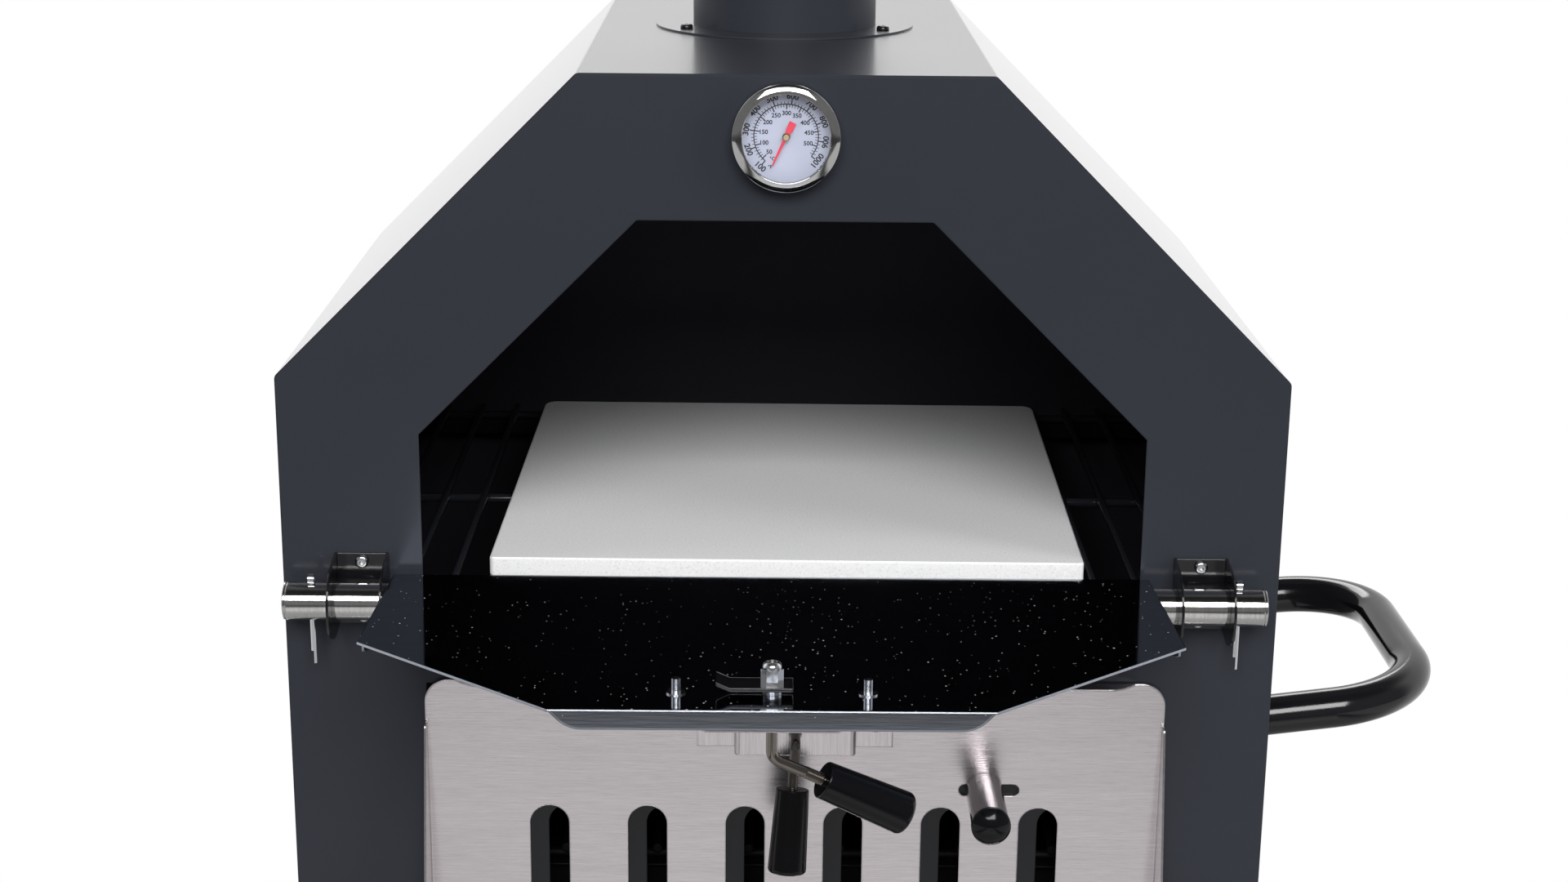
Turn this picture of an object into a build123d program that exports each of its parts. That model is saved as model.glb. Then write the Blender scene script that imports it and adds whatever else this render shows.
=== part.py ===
from build123d import *
import os
from math import cos, sin, radians, sqrt, tan

# Charcoal pizza oven on a wheeled stand, all sizes in millimetres.
# While it is built, x is across the oven from its middle plane, y is depth behind the front
# panel's face and z is height above the ground. At the end the whole oven is moved so that
# the origin is on the ground, at the middle of its outline.

# Body of folded sheet steel
body_width = 500.0
body_depth = 350.0
roof_width = 200.0
shoulder_height = 1150.0
wall_drop = 340.0
sheet = 1.0
bend_radius = 4.0
seam = 0.5
floor_drop = 298.0

# Mouth of the oven and mouth of the fire chamber, measured from the shoulder
mouth_width = 360.0
mouth_rise = 79.3
mouth_chamfer = 108.3
mouth_drop = 116.0
fire_mouth_top = 160.0
fire_mouth_bottom = 296.0

# Hinges: a stainless tube held in front of the panel by two brackets
hinge_reach = 14.0
tube_diameter = 19.0
tube_wall = 1.0
tube_length = 485.0
oven_tube_drift = -3.0
oven_hinge_drop = 111.3
fire_hinge_drop = 303.6
bracket_inside = 196.5
bracket_width = 27.0
bracket_height = 37.2
bracket_rise = 2.4
bracket_nose = 19.0
bracket_sheet = 1.2
bracket_screw_pitch = 28.5
bracket_hole_clearance = 0.25
pin_diameter = 3.0
pin_spacing = 460.6
pin_eye_radius = 2.6
pin_eye_wall = 1.1
pin_long_leg = 32.5
pin_short_leg = 26.0
tube_cap_rim = 1.3
tube_cap_dome = 1.6
tube_cap_plug = 8.0

# Door leaves, common to both doors
door_width = 376.5
door_sheet = 1.0
leaf_height = 12.5
leaf_rear = 5.5
flange_depth = 27.0
flange_full_from = 27.0
front_flange = 8.7
flange_end_radius = 15.0
flange_corner_radius = 3.0
stop_drop = 11.0
stop_gap = 0.3
rest_tilt = 3.76
running_clearance = 0.1

# Oven door
oven_door_drift = -5.1
oven_door_reach = 204.0
oven_door_chamfer = 93.7
oven_flange_start = 97.0
oven_flange_tip = 8.5

# Fire door
fire_door_drift = 7.5
fire_door_reach = 146.4
fire_door_corner = 12.0
fire_flange_start = 124.0
fire_flange_tip = 6.0
fire_front_flange_inset = 15.0
vent_count = 6
vent_pitch = 50.35
vent_width = 20.0
vent_length = 60.0
vent_top = 77.6

# Damper behind the vents, with its knob
damper_sheet = 0.8
damper_gap = 0.3
damper_low = 16.0
damper_high = 97.0
damper_length = 292.0
damper_shift = 9.6
knob_slot_height = 6.4
knob_slot_length = 31.0
knob_slot_across = 100.0
knob_slot_up = 87.6
knob_offset = -2.6
knob_length = 42.0
knob_stud = 5.8
knob_base = 2.0
knob_cap_rim = 2.0
knob_cap_dome = 4.6
knob_cap_plug = 8.0
knob_cap_diameter = 19.8
guide_foot = 6.0
guide_lip = 4.0
guide_length = 260.0

# Latches: a bent rod with a grip outside and a tongue inside, held by a hat bracket
oven_latch_from_edge = 23.5
fire_latch_from_edge = 23.0
hat_width = 61.5
hat_height = 12.5
hat_length = 24.0
hat_tab = 19.2
hat_sheet = 1.0
hat_bend = 3.0
hat_screw_across = 82.0
hat_washer_diameter = 8.5
hat_washer_thickness = 0.6
rod_diameter = 5.0
rod_bend = 6.0
rod_stand_off = 29.0
rod_tip = 13.5
oven_rod_droop = 26.6
fire_rod_droop = 14.0
oven_grip_start = 25.7
fire_grip_start = 21.7
grip_length = 42.5
grip_small = 16.6
grip_large = 19.4
grip_round = 2.5
grip_socket = 14.0
tongue_reach = 24.0
tongue_heel = 9.0
tongue_width = 15.0
tongue_sheet = 1.8
tongue_height = 2.9
tongue_ramp = 6.0
tongue_ramp_rise = 2.6
latch_nut_across = 8.5
latch_nut_height = 9.7
latch_spacer_diameter = 8.5
oven_lever_angle = -13.4
oven_tongue_angle = 180.0
fire_lever_angle = -93.7
fire_tongue_angle = 180.0

# M4 screws with their nuts, used for the brackets and the hats
m4 = 4.0
m4_head = 6.8
m4_head_height = 2.4
m4_socket = 2.5
m4_socket_depth = 1.4
m4_length = 8.7
m4_nut_across = 7.0
m4_nut_height = 3.2
m4_hole = 4.4

# Dial thermometer on the front panel
dial_rise = 121.0
bezel_diameter = 52.0
bezel_depth = 11.5
bezel_lip = 5.0
bezel_shoulder = 2.3
bezel_shoulder_drop = 1.75
bezel_crown_drop = 0.35
bezel_roll = 1.0
bezel_crown = 8.0
bezel_inner_round = 0.5
case_wall = 1.2
case_back_radius = 25.2
case_cavity_radius = 24.0
lens_sheet = 1.5
lens_depth = 8.5
dial_sheet = 0.5
dial_from_back = 0.3
dial_clearance = 0.3
needle_height = 1.4
needle_sheet = 0.4
needle_tip = 15.4
needle_tail = 7.6
needle_tail_width = 3.4
needle_tip_width = 0.7
needle_angle = 205.0
needle_hub_radius = 1.9
needle_hub_height = 1.6
needle_spindle = 0.75
stem_diameter = 6.0
stem_length = 62.0
stem_thread = 8.0
stem_thread_length = 9.0
stem_nut_across = 13.0
stem_nut_height = 4.0

# Chimney
flue_diameter = 100.0
flue_height = 300.0
flue_back = 200.0
flue_wall = 1.0
flue_flange = 141.0
flue_screw_circle = 122.0
flue_screw_count = 3
flue_screw_phase = 90.0
rain_cap_diameter = 150.0
rain_cap_rise = 26.0
rain_cap_gap = 34.0
rain_cap_rim = 6.0
cap_strap_width = 14.0
cap_strap_sheet = 1.5
cap_strap_lap = 24.0
cap_strap_count = 3

# Cooking level: stone, grid and the rails that carry the grid
stone_size = 300.0
stone_thickness = 10.0
stone_drop = 95.5
stone_front = 7.0
stone_drift = 4.0
stone_turn = -0.6
stone_rear_corner = 8.0
stone_front_corner = 2.5
stone_edge = 0.8
grid_rod = 4.0
grid_cross_rod = 5.0
grid_pitch = 21.55
grid_rod_count = 22
grid_rear_gap = 10.0
grid_front = 5.0
grid_cross_inset = 6.0
grid_cross_middle = 159.0
grid_side = 240.0
grid_drift = -3.75
weld_sink = 0.4
rail_width = 16.0
rail_lip = 9.0
rail_sheet = 1.2
rear_rail_width = 19.0

# Fire chamber: pan for the ash and a grate for the charcoal on its rim
pan_width = 330.0
pan_depth = 300.0
pan_height = 30.0
pan_front = 25.0
pan_rim = 8.0
grate_rod = 5.0
grate_pitch = 16.0
grate_cross_count = 3

# Side handle
handle_diameter = 22.0
handle_wall = 1.5
handle_span = 181.6
handle_reach = 106.8
handle_bend = 54.0
handle_drop = 211.0
handle_tilt = 7.3
handle_bolt = 8.0
handle_bolt_head = 13.0
handle_bolt_head_height = 5.0
handle_bolt_length = 22.0

# Stand: four square legs, a shelf, two wheels and two feet
leg_size = 25.0
leg_wall = 1.5
leg_bolt = 6.0
leg_bolt_head = 12.0
leg_bolt_head_height = 3.4
leg_bolt_length = 12.0
leg_bolt_pitch = 22.0
leg_bolt_from_floor = 12.0
leg_bolt_socket = 4.0
leg_bolt_socket_depth = 2.0
shelf_height = 230.0
shelf_rim = 26.0
shelf_gap = 0.3
shelf_vent_rows = 3
shelf_vent_columns = 9
shelf_vent_length = 64.0
shelf_vent_width = 9.0
shelf_vent_pitch = 40.0
shelf_bolt_drop = 13.0
wheel_radius = 75.0
wheel_width = 32.0
wheel_tread = 9.0
wheel_rim = 6.0
wheel_hub_radius = 14.0
wheel_web = 7.0
wheel_spoke_count = 6
wheel_spoke_width = 15.0
wheel_edge_round = 4.0
axle_diameter = 10.0
axle_clearance = 0.08
axle_washer_gap = 2.0
axle_cap_radius = 9.0
axle_cap_height = 6.0
leg_below_axle = 16.0
foot_height = 22.0
foot_size = 31.0
foot_cup = 12.0
foot_gap = 0.2
plug_height = 3.0
plug_depth = 10.0
plug_gap = 0.2

# Overrun of every cutting tool
overrun = 5.0

# Sizes that follow from the ones above
half_width = body_width / 2
half_roof = roof_width / 2
roof_height = shoulder_height + half_width - half_roof
body_bottom = shoulder_height - wall_drop
floor_top = shoulder_height - floor_drop
bend_share = tan(radians(22.5))
tube_radius = tube_diameter / 2
oven_axis_height = shoulder_height - oven_hinge_drop
fire_axis_height = shoulder_height - fire_hinge_drop
half_door = door_width / 2
leaf_outer = leaf_height - door_sheet
stone_bottom = shoulder_height - stone_drop - stone_thickness
cross_rod_bottom = stone_bottom - grid_rod - grid_cross_rod + weld_sink
rail_top = cross_rod_bottom
wheel_x = -(half_width - sheet - leg_size / 2)
leg_top = floor_top - sheet
dial_height = shoulder_height + dial_rise
cap_screw_height = roof_height + flue_height - cap_strap_lap / 2
oven_latch_up = oven_door_reach - oven_latch_from_edge
fire_latch_up = fire_door_reach - fire_latch_from_edge
oven_lever = (oven_grip_start, oven_lever_angle, oven_rod_droop)
fire_lever = (fire_grip_start, fire_lever_angle, fire_rod_droop)
grid_depth = body_depth - sheet - grid_rear_gap - grid_front
handle_height = shoulder_height - handle_drop
handle_arms = (body_depth / 2 - handle_span / 2, body_depth / 2 + handle_span / 2)
bolt_hole = handle_bolt + 2 * running_clearance


# Helpers for plates, holes and fasteners


def plate_xz(sketch, y, thickness):
    """Plate drawn in x and z that fills y to y + thickness."""
    return Pos(0, y + thickness, 0) * extrude(Plane.XZ * sketch, thickness)


def outline(points):
    """Closed face through points given in order."""
    return make_face(Polyline(*points, close=True))


def rounded(face, spots, radius):
    """Round the corners of a face that lie at the given points."""
    corners = []
    for vertex in face.vertices():
        for spot in spots:
            if abs(vertex.X - spot[0]) + abs(vertex.Y - spot[1]) < sheet / 10:
                corners.append(vertex)
    return fillet(corners, radius)


def stadium(length, width):
    """Slot with round ends, its length across x."""
    return SlotOverall(length, width)


def screw(diameter, length, head, head_height, socket, socket_depth):
    """Round-headed screw on the z axis: head below z = 0, shank above it."""
    cap = Pos(0, 0, -head_height / 2) * Cylinder(head / 2, head_height)
    cap = fillet(cap.edges().group_by(Axis.Z)[0], head_height * 0.6)
    hexagon = RegularPolygon(socket / 2, 6)
    cap -= Pos(0, 0, -head_height) * extrude(hexagon, socket_depth)
    return cap + Pos(0, 0, length / 2) * Cylinder(diameter / 2, length)


def hex_nut(across, bore, height):
    """Hexagonal nut standing on z = 0."""
    ring = RegularPolygon(across / 2, 6, major_radius=False) - Circle(bore / 2)
    return extrude(ring, height)


def m4_screw():
    return screw(m4, m4_length, m4_head, m4_head_height, m4_socket, m4_socket_depth)


def m4_nut():
    return hex_nut(m4_nut_across, m4 + running_clearance, m4_nut_height)


# Body


def body_outline(inset):
    """Outline of the body seen from the front, moved inwards by inset."""
    shift = inset * bend_share
    low = body_bottom
    side = half_width - inset
    shoulder = shoulder_height - shift
    top = roof_height - inset
    roof = half_roof - shift
    points = [(-side, low), (-side, shoulder), (-roof, top), (roof, top), (side, shoulder), (side, low)]
    return rounded(outline(points), points[1:5], bend_radius - inset)


def wrap_ring():
    """The walls, slopes and roof as one bent strip, before it is cut at the bends."""
    face = body_outline(0) - body_outline(sheet)
    return plate_xz(face, sheet, body_depth - 2 * sheet)


def wrap_piece(start, end):
    """Part of the strip between two bends; each bend is cut along its bisector."""
    shift = sheet * bend_share
    outer = [(-half_width, shoulder_height), (-half_roof, roof_height)]
    inner = [(-half_width + sheet, shoulder_height - shift), (-half_roof + shift, roof_height - sheet)]
    outer += [(-x, z) for x, z in reversed(outer)]
    inner += [(-x, z) for x, z in reversed(inner)]
    outer = [(-half_width, body_bottom)] + outer + [(half_width, body_bottom)]
    inner = [(-half_width + sheet, body_bottom)] + inner + [(half_width - sheet, body_bottom)]
    reach = overrun / sheet

    def along(index, times):
        spread_x = outer[index][0] - inner[index][0]
        spread_z = outer[index][1] - inner[index][1]
        return inner[index][0] + times * spread_x, inner[index][1] + times * spread_z

    zone = outline([along(start, reach), along(end, reach), along(end, -reach), along(start, -reach)])
    return wrap_ring() & plate_xz(zone, 0, body_depth)


def left_wall():
    wall = wrap_piece(0, 1)
    return wall - leg_bolt_holes(-1)


def right_wall():
    wall = wrap_piece(4, 5)
    holes = [
        Pos(half_width, y, handle_height) * Rot(0, 90, 0) * Cylinder(bolt_hole / 2, overrun)
        for y in handle_arms
    ]
    return wall - leg_bolt_holes(1) - holes


def left_slope():
    return wrap_piece(1, 2)


def right_slope():
    return wrap_piece(3, 4)


def roof_panel():
    roof = wrap_piece(2, 3)
    flue = Pos(0, flue_back, roof_height) * Cylinder(flue_diameter / 2 - flue_wall, overrun)
    holes = [Pos(x, y, roof_height) * Cylinder(m4_hole / 2, overrun) for x, y in flue_screw_spots()]
    return roof - flue - holes


def mouth_outline():
    """Mouth of the oven: a rectangle with its upper corners cut at 45 degrees."""
    side = mouth_width / 2
    top = shoulder_height + mouth_rise
    low = shoulder_height - mouth_drop
    bend = top - mouth_chamfer
    roof = side - mouth_chamfer
    return outline([(-side, low), (-side, bend), (-roof, top), (roof, top), (side, bend), (side, low)])


def front_panel():
    face = body_outline(seam) - mouth_outline()
    fire_height = fire_mouth_bottom - fire_mouth_top
    middle = shoulder_height - (fire_mouth_bottom + fire_mouth_top) / 2
    face -= Pos(0, middle) * Rectangle(mouth_width, fire_height)
    face -= Pos(0, dial_height) * Circle(stem_thread / 2 + running_clearance)
    for x, z in bracket_screw_spots():
        face -= Pos(x, z) * Circle(m4_hole / 2)
    return plate_xz(face, 0, sheet)


def rear_panel():
    return plate_xz(body_outline(seam), body_depth - sheet, sheet)


def floor_panel():
    width = body_width - 2 * sheet
    depth = body_depth - 2 * sheet
    return Pos(0, body_depth / 2, floor_top - sheet / 2) * Box(width, depth, sheet)


# Hinges


def bracket_screw_spots():
    across = bracket_inside + bracket_width / 2
    spots = []
    for axis in (oven_axis_height, fire_axis_height):
        for side in (-1, 1):
            for end in (-1, 1):
                spots.append((side * across, axis + bracket_rise + end * bracket_screw_pitch / 2))
    return spots


def hinge_bracket():
    """U-shaped bracket: a plate on the panel and two round-nosed ears that hold the tube."""
    middle = Pos(0, -bracket_sheet / 2, bracket_rise)
    plate = middle * Box(bracket_width, bracket_sheet, bracket_height)
    for end in (-1, 1):
        hole = middle * Pos(0, 0, end * bracket_screw_pitch / 2) * Rot(90, 0, 0)
        plate -= hole * Cylinder(m4_hole / 2, overrun)
    nose = Pos(-hinge_reach, 0) * Circle(bracket_nose)
    root = Pos(-bracket_sheet / 2, bracket_rise) * Rectangle(bracket_sheet, bracket_height)
    side = make_hull(nose.edges() + root.edges())
    side -= Pos(-hinge_reach, 0) * Circle(tube_radius + bracket_hole_clearance)
    side -= Pos(bracket_height / 2, 0) * Rectangle(bracket_height, 2 * bracket_height)
    ear = extrude(Plane.YZ * side, bracket_sheet)
    inner = bracket_width / 2 - bracket_sheet
    return plate + Pos(-bracket_width / 2, 0, 0) * ear + Pos(inner, 0, 0) * ear


def hinge_brackets():
    across = bracket_inside + bracket_width / 2
    return [
        Pos(side * across, 0, axis) * hinge_bracket()
        for axis in (oven_axis_height, fire_axis_height)
        for side in (-1, 1)
    ]


def bracket_screws():
    return [Pos(x, -bracket_sheet, z) * Rot(-90, 0, 0) * m4_screw() for x, z in bracket_screw_spots()]


def bracket_nuts():
    return [Pos(x, sheet, z) * Rot(-90, 0, 0) * m4_nut() for x, z in bracket_screw_spots()]


def tube_places():
    """Middle of each hinge tube: its drift to one side and the height of its axis."""
    return ((oven_tube_drift, oven_axis_height), (0, fire_axis_height))


def hinge_tube():
    """Tube across x with a cross hole near each end for the split pins."""
    body = Cylinder(tube_radius, tube_length) - Cylinder(tube_radius - tube_wall, tube_length)
    body = Rot(0, 90, 0) * body
    for side in (-1, 1):
        hole = Cylinder(pin_diameter / 2 + running_clearance, tube_diameter + overrun)
        body -= Pos(side * pin_spacing / 2, 0, 0) * hole
    return body


def hinge_tubes():
    return [Pos(drift, -hinge_reach, axis) * hinge_tube() for drift, axis in tube_places()]


def dome_middle(radius, base, rise):
    """Point halfway out on a shallow dome whose centre lies on its axis."""
    sphere = (radius ** 2 + rise ** 2) / (2 * rise)
    return radius / 2, base + sqrt(sphere ** 2 - radius ** 2 / 4) - (sphere - rise)


def tube_cap():
    """Pressed cap along +x: a plug inside the tube, a thin rim and a low dome."""
    inside = tube_radius - tube_wall - running_clearance
    profile = [(0, -tube_cap_plug), (inside, -tube_cap_plug), (inside, 0), (tube_radius, 0)]
    side = Polyline(*profile, (tube_radius, tube_cap_rim))
    peak = tube_cap_rim + tube_cap_dome
    middle = dome_middle(tube_radius, tube_cap_rim, tube_cap_dome)
    dome = ThreePointArc((tube_radius, tube_cap_rim), middle, (0, peak))
    back = Line((0, peak), (0, -tube_cap_plug))
    turned = revolve(make_face([side, dome, back]), Axis.Y)
    return Rot(0, 0, -90) * turned


def hinge_tube_caps():
    caps = []
    for drift, axis in tube_places():
        end = Pos(drift, -hinge_reach, axis) * Pos(tube_length / 2, 0, 0)
        other = Pos(drift, -hinge_reach, axis) * Rot(0, 0, 180) * Pos(tube_length / 2, 0, 0)
        caps += [end * tube_cap(), other * tube_cap()]
    return caps


def split_pin():
    """Split pin down through the tube: ring head above, one leg longer than the other."""
    wire = pin_diameter / 2
    seat = tube_radius + running_clearance
    middle = tube_radius + pin_eye_radius * 0.8
    top = middle - pin_eye_radius + pin_eye_wall
    short = Pos(0, 0, (top - pin_short_leg) / 2) * Cylinder(wire, top + pin_short_leg)
    long_leg = Pos(0, 0, (top - pin_long_leg) / 2) * Cylinder(wire, top + pin_long_leg)
    half = Pos(wire / 2, 0, (top - pin_long_leg) / 2) * Box(wire, pin_diameter, top + pin_long_leg + overrun)
    ring = Circle(pin_eye_radius) - Circle(pin_eye_radius - pin_eye_wall)
    eye = Pos(-wire, 0, middle) * extrude(Plane.YZ * ring, pin_diameter)
    eye -= Pos(0, 0, seat - pin_eye_radius) * Box(pin_diameter, 2 * pin_eye_radius, 2 * pin_eye_radius)
    return short + (long_leg & half) + eye


def hinge_pins():
    return [
        Pos(drift + side * pin_spacing / 2, -hinge_reach, axis) * split_pin()
        for drift, axis in tube_places()
        for side in (-1, 1)
    ]


# Door leaves. Each is drawn open and level in its own frame: the hinge axis is x, the leaf
# reaches along -y, its inner face is up at leaf_height, and its flanges fold down.


def stop_reach():
    """How far behind the axis the flange's stop stands, to meet the panel at the rest tilt."""
    lift = radians(rest_tilt)
    return (hinge_reach - stop_gap + stop_drop * sin(lift)) / cos(lift)


def side_flange(start, tip):
    """Tapered flange in the y-z plane, pierced by the hinge tube and ending in the open stop."""
    low = leaf_height - flange_depth
    rear = [(leaf_rear, leaf_height), (stop_reach(), -stop_drop), (stop_reach() - flange_corner_radius, low)]
    slope = [(-flange_full_from, low), (-start, leaf_height - tip)]
    face = outline(rear + slope + [(-start, leaf_height)])
    face = rounded(face, [slope[1], slope[0]], flange_corner_radius)
    face -= Circle(tube_radius + running_clearance)
    flange = extrude(Plane.YZ * face, door_sheet)
    return Pos(half_door - door_sheet, 0, 0) * flange + Pos(-half_door, 0, 0) * flange


def front_flange_strip(reach, half_length):
    """Flange folded down along the leaf's outer edge, its ends cut at 45 degrees and rounded."""
    low = leaf_height - front_flange
    tip = half_length - front_flange
    points = [(-half_length, leaf_height), (half_length, leaf_height), (tip, low), (-tip, low)]
    face = rounded(outline(points), points[2:], flange_end_radius)
    return plate_xz(face, -reach, door_sheet)


def leaf_plate(face):
    return Pos(0, 0, leaf_outer) * extrude(face, door_sheet)


def latch_holes(up):
    """Holes for the latch rod and for the two screws of the hat bracket."""
    holes = Pos(0, -up) * Circle(rod_diameter / 2 + bracket_hole_clearance)
    for side in (-1, 1):
        holes += Pos(side * hat_screw_across / 2, -up) * Circle(m4_hole / 2)
    return holes


def oven_leaf():
    bend = oven_door_reach - oven_door_chamfer
    front = half_door - oven_door_chamfer
    points = [(-half_door, leaf_rear), (half_door, leaf_rear), (half_door, -bend)]
    points += [(front, -oven_door_reach), (-front, -oven_door_reach), (-half_door, -bend)]
    face = outline(points) - latch_holes(oven_latch_up)
    leaf = leaf_plate(face) + side_flange(oven_flange_start, oven_flange_tip)
    return leaf + front_flange_strip(oven_door_reach, front)


def vent_spots():
    return [(index - (vent_count - 1) / 2) * vent_pitch for index in range(vent_count)]


def fire_leaf():
    points = [(-half_door, leaf_rear), (half_door, leaf_rear)]
    points += [(half_door, -fire_door_reach), (-half_door, -fire_door_reach)]
    face = rounded(outline(points), points[2:], fire_door_corner)
    face -= latch_holes(fire_latch_up)
    face -= Pos(knob_slot_across, -knob_slot_up) * stadium(knob_slot_length, knob_slot_height)
    for x in vent_spots():
        middle = vent_top - vent_length / 2
        face -= Pos(x, -middle) * Rot(0, 0, 90) * stadium(vent_length, vent_width)
    leaf = leaf_plate(face) + side_flange(fire_flange_start, fire_flange_tip)
    return leaf + front_flange_strip(fire_door_reach, half_door - fire_front_flange_inset)


# Latch parts. Their frame has z = 0 on the leaf's inner face and the latch rod on z.


def hat_bracket():
    """Hat-shaped bracket on the outer face: two tabs and a raised bridge."""
    top = -door_sheet
    low = top - hat_height
    reach = hat_width / 2 + hat_tab
    side = hat_width / 2
    outer = [(-reach, top), (-reach, top - hat_sheet), (-side, top - hat_sheet), (-side, low), (side, low)]
    outer += [(side, top - hat_sheet), (reach, top - hat_sheet), (reach, top)]
    inner = side - hat_sheet
    outer += [(inner, top), (inner, low + hat_sheet), (-inner, low + hat_sheet), (-inner, top)]
    face = rounded(outline(outer), [(-side, low), (side, low)], hat_bend)
    face = rounded(face, [(-inner, low + hat_sheet), (inner, low + hat_sheet)], hat_bend - hat_sheet)
    hat = plate_xz(face, -hat_length / 2, hat_length)
    hat -= Pos(0, 0, low) * Cylinder(rod_diameter / 2 + bracket_hole_clearance, overrun)
    for end in (-1, 1):
        hat -= Pos(end * hat_screw_across / 2, 0, top) * Cylinder(m4_hole / 2, overrun)
    return hat


def hat_fixings():
    """Two screws from outside, each held by a push-on washer on the inner face."""
    washer = Circle(hat_washer_diameter / 2) - Circle(m4 / 2)
    pieces = []
    for end in (-1, 1):
        spot = Pos(end * hat_screw_across / 2, 0, 0)
        pieces.append(spot * Pos(0, 0, -door_sheet - hat_sheet) * m4_screw())
        pieces.append(spot * extrude(washer, hat_washer_thickness))
    return pieces


def leg_frame(angle, droop):
    """Frame of the lever's leg: x runs along the leg from the spindle's line."""
    return turned_to(angle) * Pos(0, 0, -rod_stand_off) * Rot(0, droop, 0)


def turned_to(angle):
    """Turn that carries +x to the direction at this angle from +x towards the leaf's edge."""
    return Rot(0, 0, -angle)


def latch_lever(grip_start, angle, droop):
    """Bent rod: a spindle on z and a leg that carries the grip."""
    bottom = -rod_stand_off
    leg = grip_start + grip_socket
    leg_end = (leg * cos(radians(droop)), 0, bottom - leg * sin(radians(droop)))
    path = FilletPolyline((0, 0, rod_tip), (0, 0, bottom), leg_end, radius=rod_bend)
    section = Plane((0, 0, rod_tip), x_dir=(1, 0, 0), z_dir=(0, 0, -1)) * Circle(rod_diameter / 2)
    return turned_to(angle) * sweep(section, path)


def latch_grip(grip_start, angle, droop):
    """Tapered grip on the leg, wider at its free end."""
    small = grip_small / 2
    large = grip_large / 2
    points = [(0, 0), (small, 0), (large, grip_length), (0, grip_length)]
    turned = revolve(outline(points), Axis.Y)
    turned = fillet(turned.edges().group_by(Axis.Y)[-1], grip_round)
    turned = fillet(turned.edges().group_by(Axis.Y)[0], grip_round / 4)
    bore = Pos(0, grip_socket / 2, 0) * Rot(90, 0, 0) * Cylinder(rod_diameter / 2, grip_socket)
    turned -= bore
    return leg_frame(angle, droop) * Pos(grip_start, 0, 0) * Rot(0, 0, -90) * turned


def latch_tongue(angle):
    """Flat tongue clamped on the spindle, its far end bent away from the leaf as a ramp."""
    low = tongue_height
    high = low + tongue_sheet
    flat = tongue_reach - tongue_ramp
    side = [(-tongue_heel, low), (flat, low), (tongue_reach, low + tongue_ramp_rise)]
    side += [(tongue_reach, high + tongue_ramp_rise), (flat, high), (-tongue_heel, high)]
    tongue = plate_xz(outline(side), -tongue_width / 2, tongue_width)
    tongue -= Pos(0, 0, low) * Cylinder(rod_diameter / 2, overrun)
    return turned_to(angle) * tongue


def latch_nuts():
    """Spacer ring under the tongue and lock nut with a rounded collar on it."""
    height = tongue_height - running_clearance
    ring = Circle(latch_spacer_diameter / 2) - Circle(rod_diameter / 2)
    spacer = Pos(0, 0, running_clearance) * extrude(ring, height)
    body = latch_nut_height * 0.65
    lock = hex_nut(latch_nut_across, rod_diameter, body)
    collar = Pos(0, 0, latch_nut_height / 2) * Cylinder(latch_nut_across / 2, latch_nut_height)
    collar = fillet(collar.edges().group_by(Axis.Z)[-1], latch_nut_height / 4)
    collar -= Cylinder(rod_diameter / 2, overrun * latch_nut_height)
    return [spacer, Pos(0, 0, tongue_height + tongue_sheet) * (lock + collar)]


# Damper, in the fire door's frame


def damper_plate():
    """Sheet behind the leaf with the same vents, shifted so that it covers half of each."""
    height = damper_high - damper_low
    middle = (damper_high + damper_low) / 2
    face = Pos(0, -middle) * Rectangle(damper_length, height)
    for x in vent_spots():
        center = vent_top - vent_length / 2
        face -= Pos(x + damper_shift, -center) * Rot(0, 0, 90) * stadium(vent_length, vent_width)
    face -= Pos(knob_slot_across + knob_offset, -knob_slot_up) * Circle(knob_stud / 2)
    return Pos(0, 0, leaf_height + damper_gap) * extrude(face, damper_sheet)


def damper_guides():
    """Two stepped strips that hold the sheet against the leaf along its long edges."""
    step = damper_gap + damper_sheet + damper_gap
    base = leaf_height
    high = base + step + damper_sheet
    start = damper_high + damper_gap
    near = start - guide_lip
    far = start + guide_foot
    wall = start + damper_sheet
    points = [(start, base), (far, base), (far, base + damper_sheet), (wall, base + damper_sheet)]
    points += [(wall, high), (near, high), (near, high - damper_sheet), (start, high - damper_sheet)]
    upper = Plane.YZ * outline([(-u, n) for u, n in points])
    flip = damper_high + damper_low
    lower = Plane.YZ * outline([(u - flip, n) for u, n in points])
    shift = Pos(-guide_length / 2, 0, 0)
    return [shift * extrude(upper, guide_length), shift * extrude(lower, guide_length)]


def damper_knob():
    """Tube knob with a base and a stud that is riveted into the sheet behind the slot."""
    length = knob_length
    tube = Cylinder(tube_radius, length) - Pos(0, 0, -knob_base) * Cylinder(tube_radius - tube_wall, length)
    tube = Pos(0, 0, leaf_outer - damper_gap - length / 2) * tube
    stud_low = leaf_outer - damper_gap - knob_base / 2
    stud_high = leaf_height + damper_gap + damper_sheet
    stud = Pos(0, 0, (stud_low + stud_high) / 2) * Cylinder(knob_stud / 2, stud_high - stud_low)
    return Pos(knob_slot_across + knob_offset, -knob_slot_up, 0) * (tube + stud)


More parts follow.
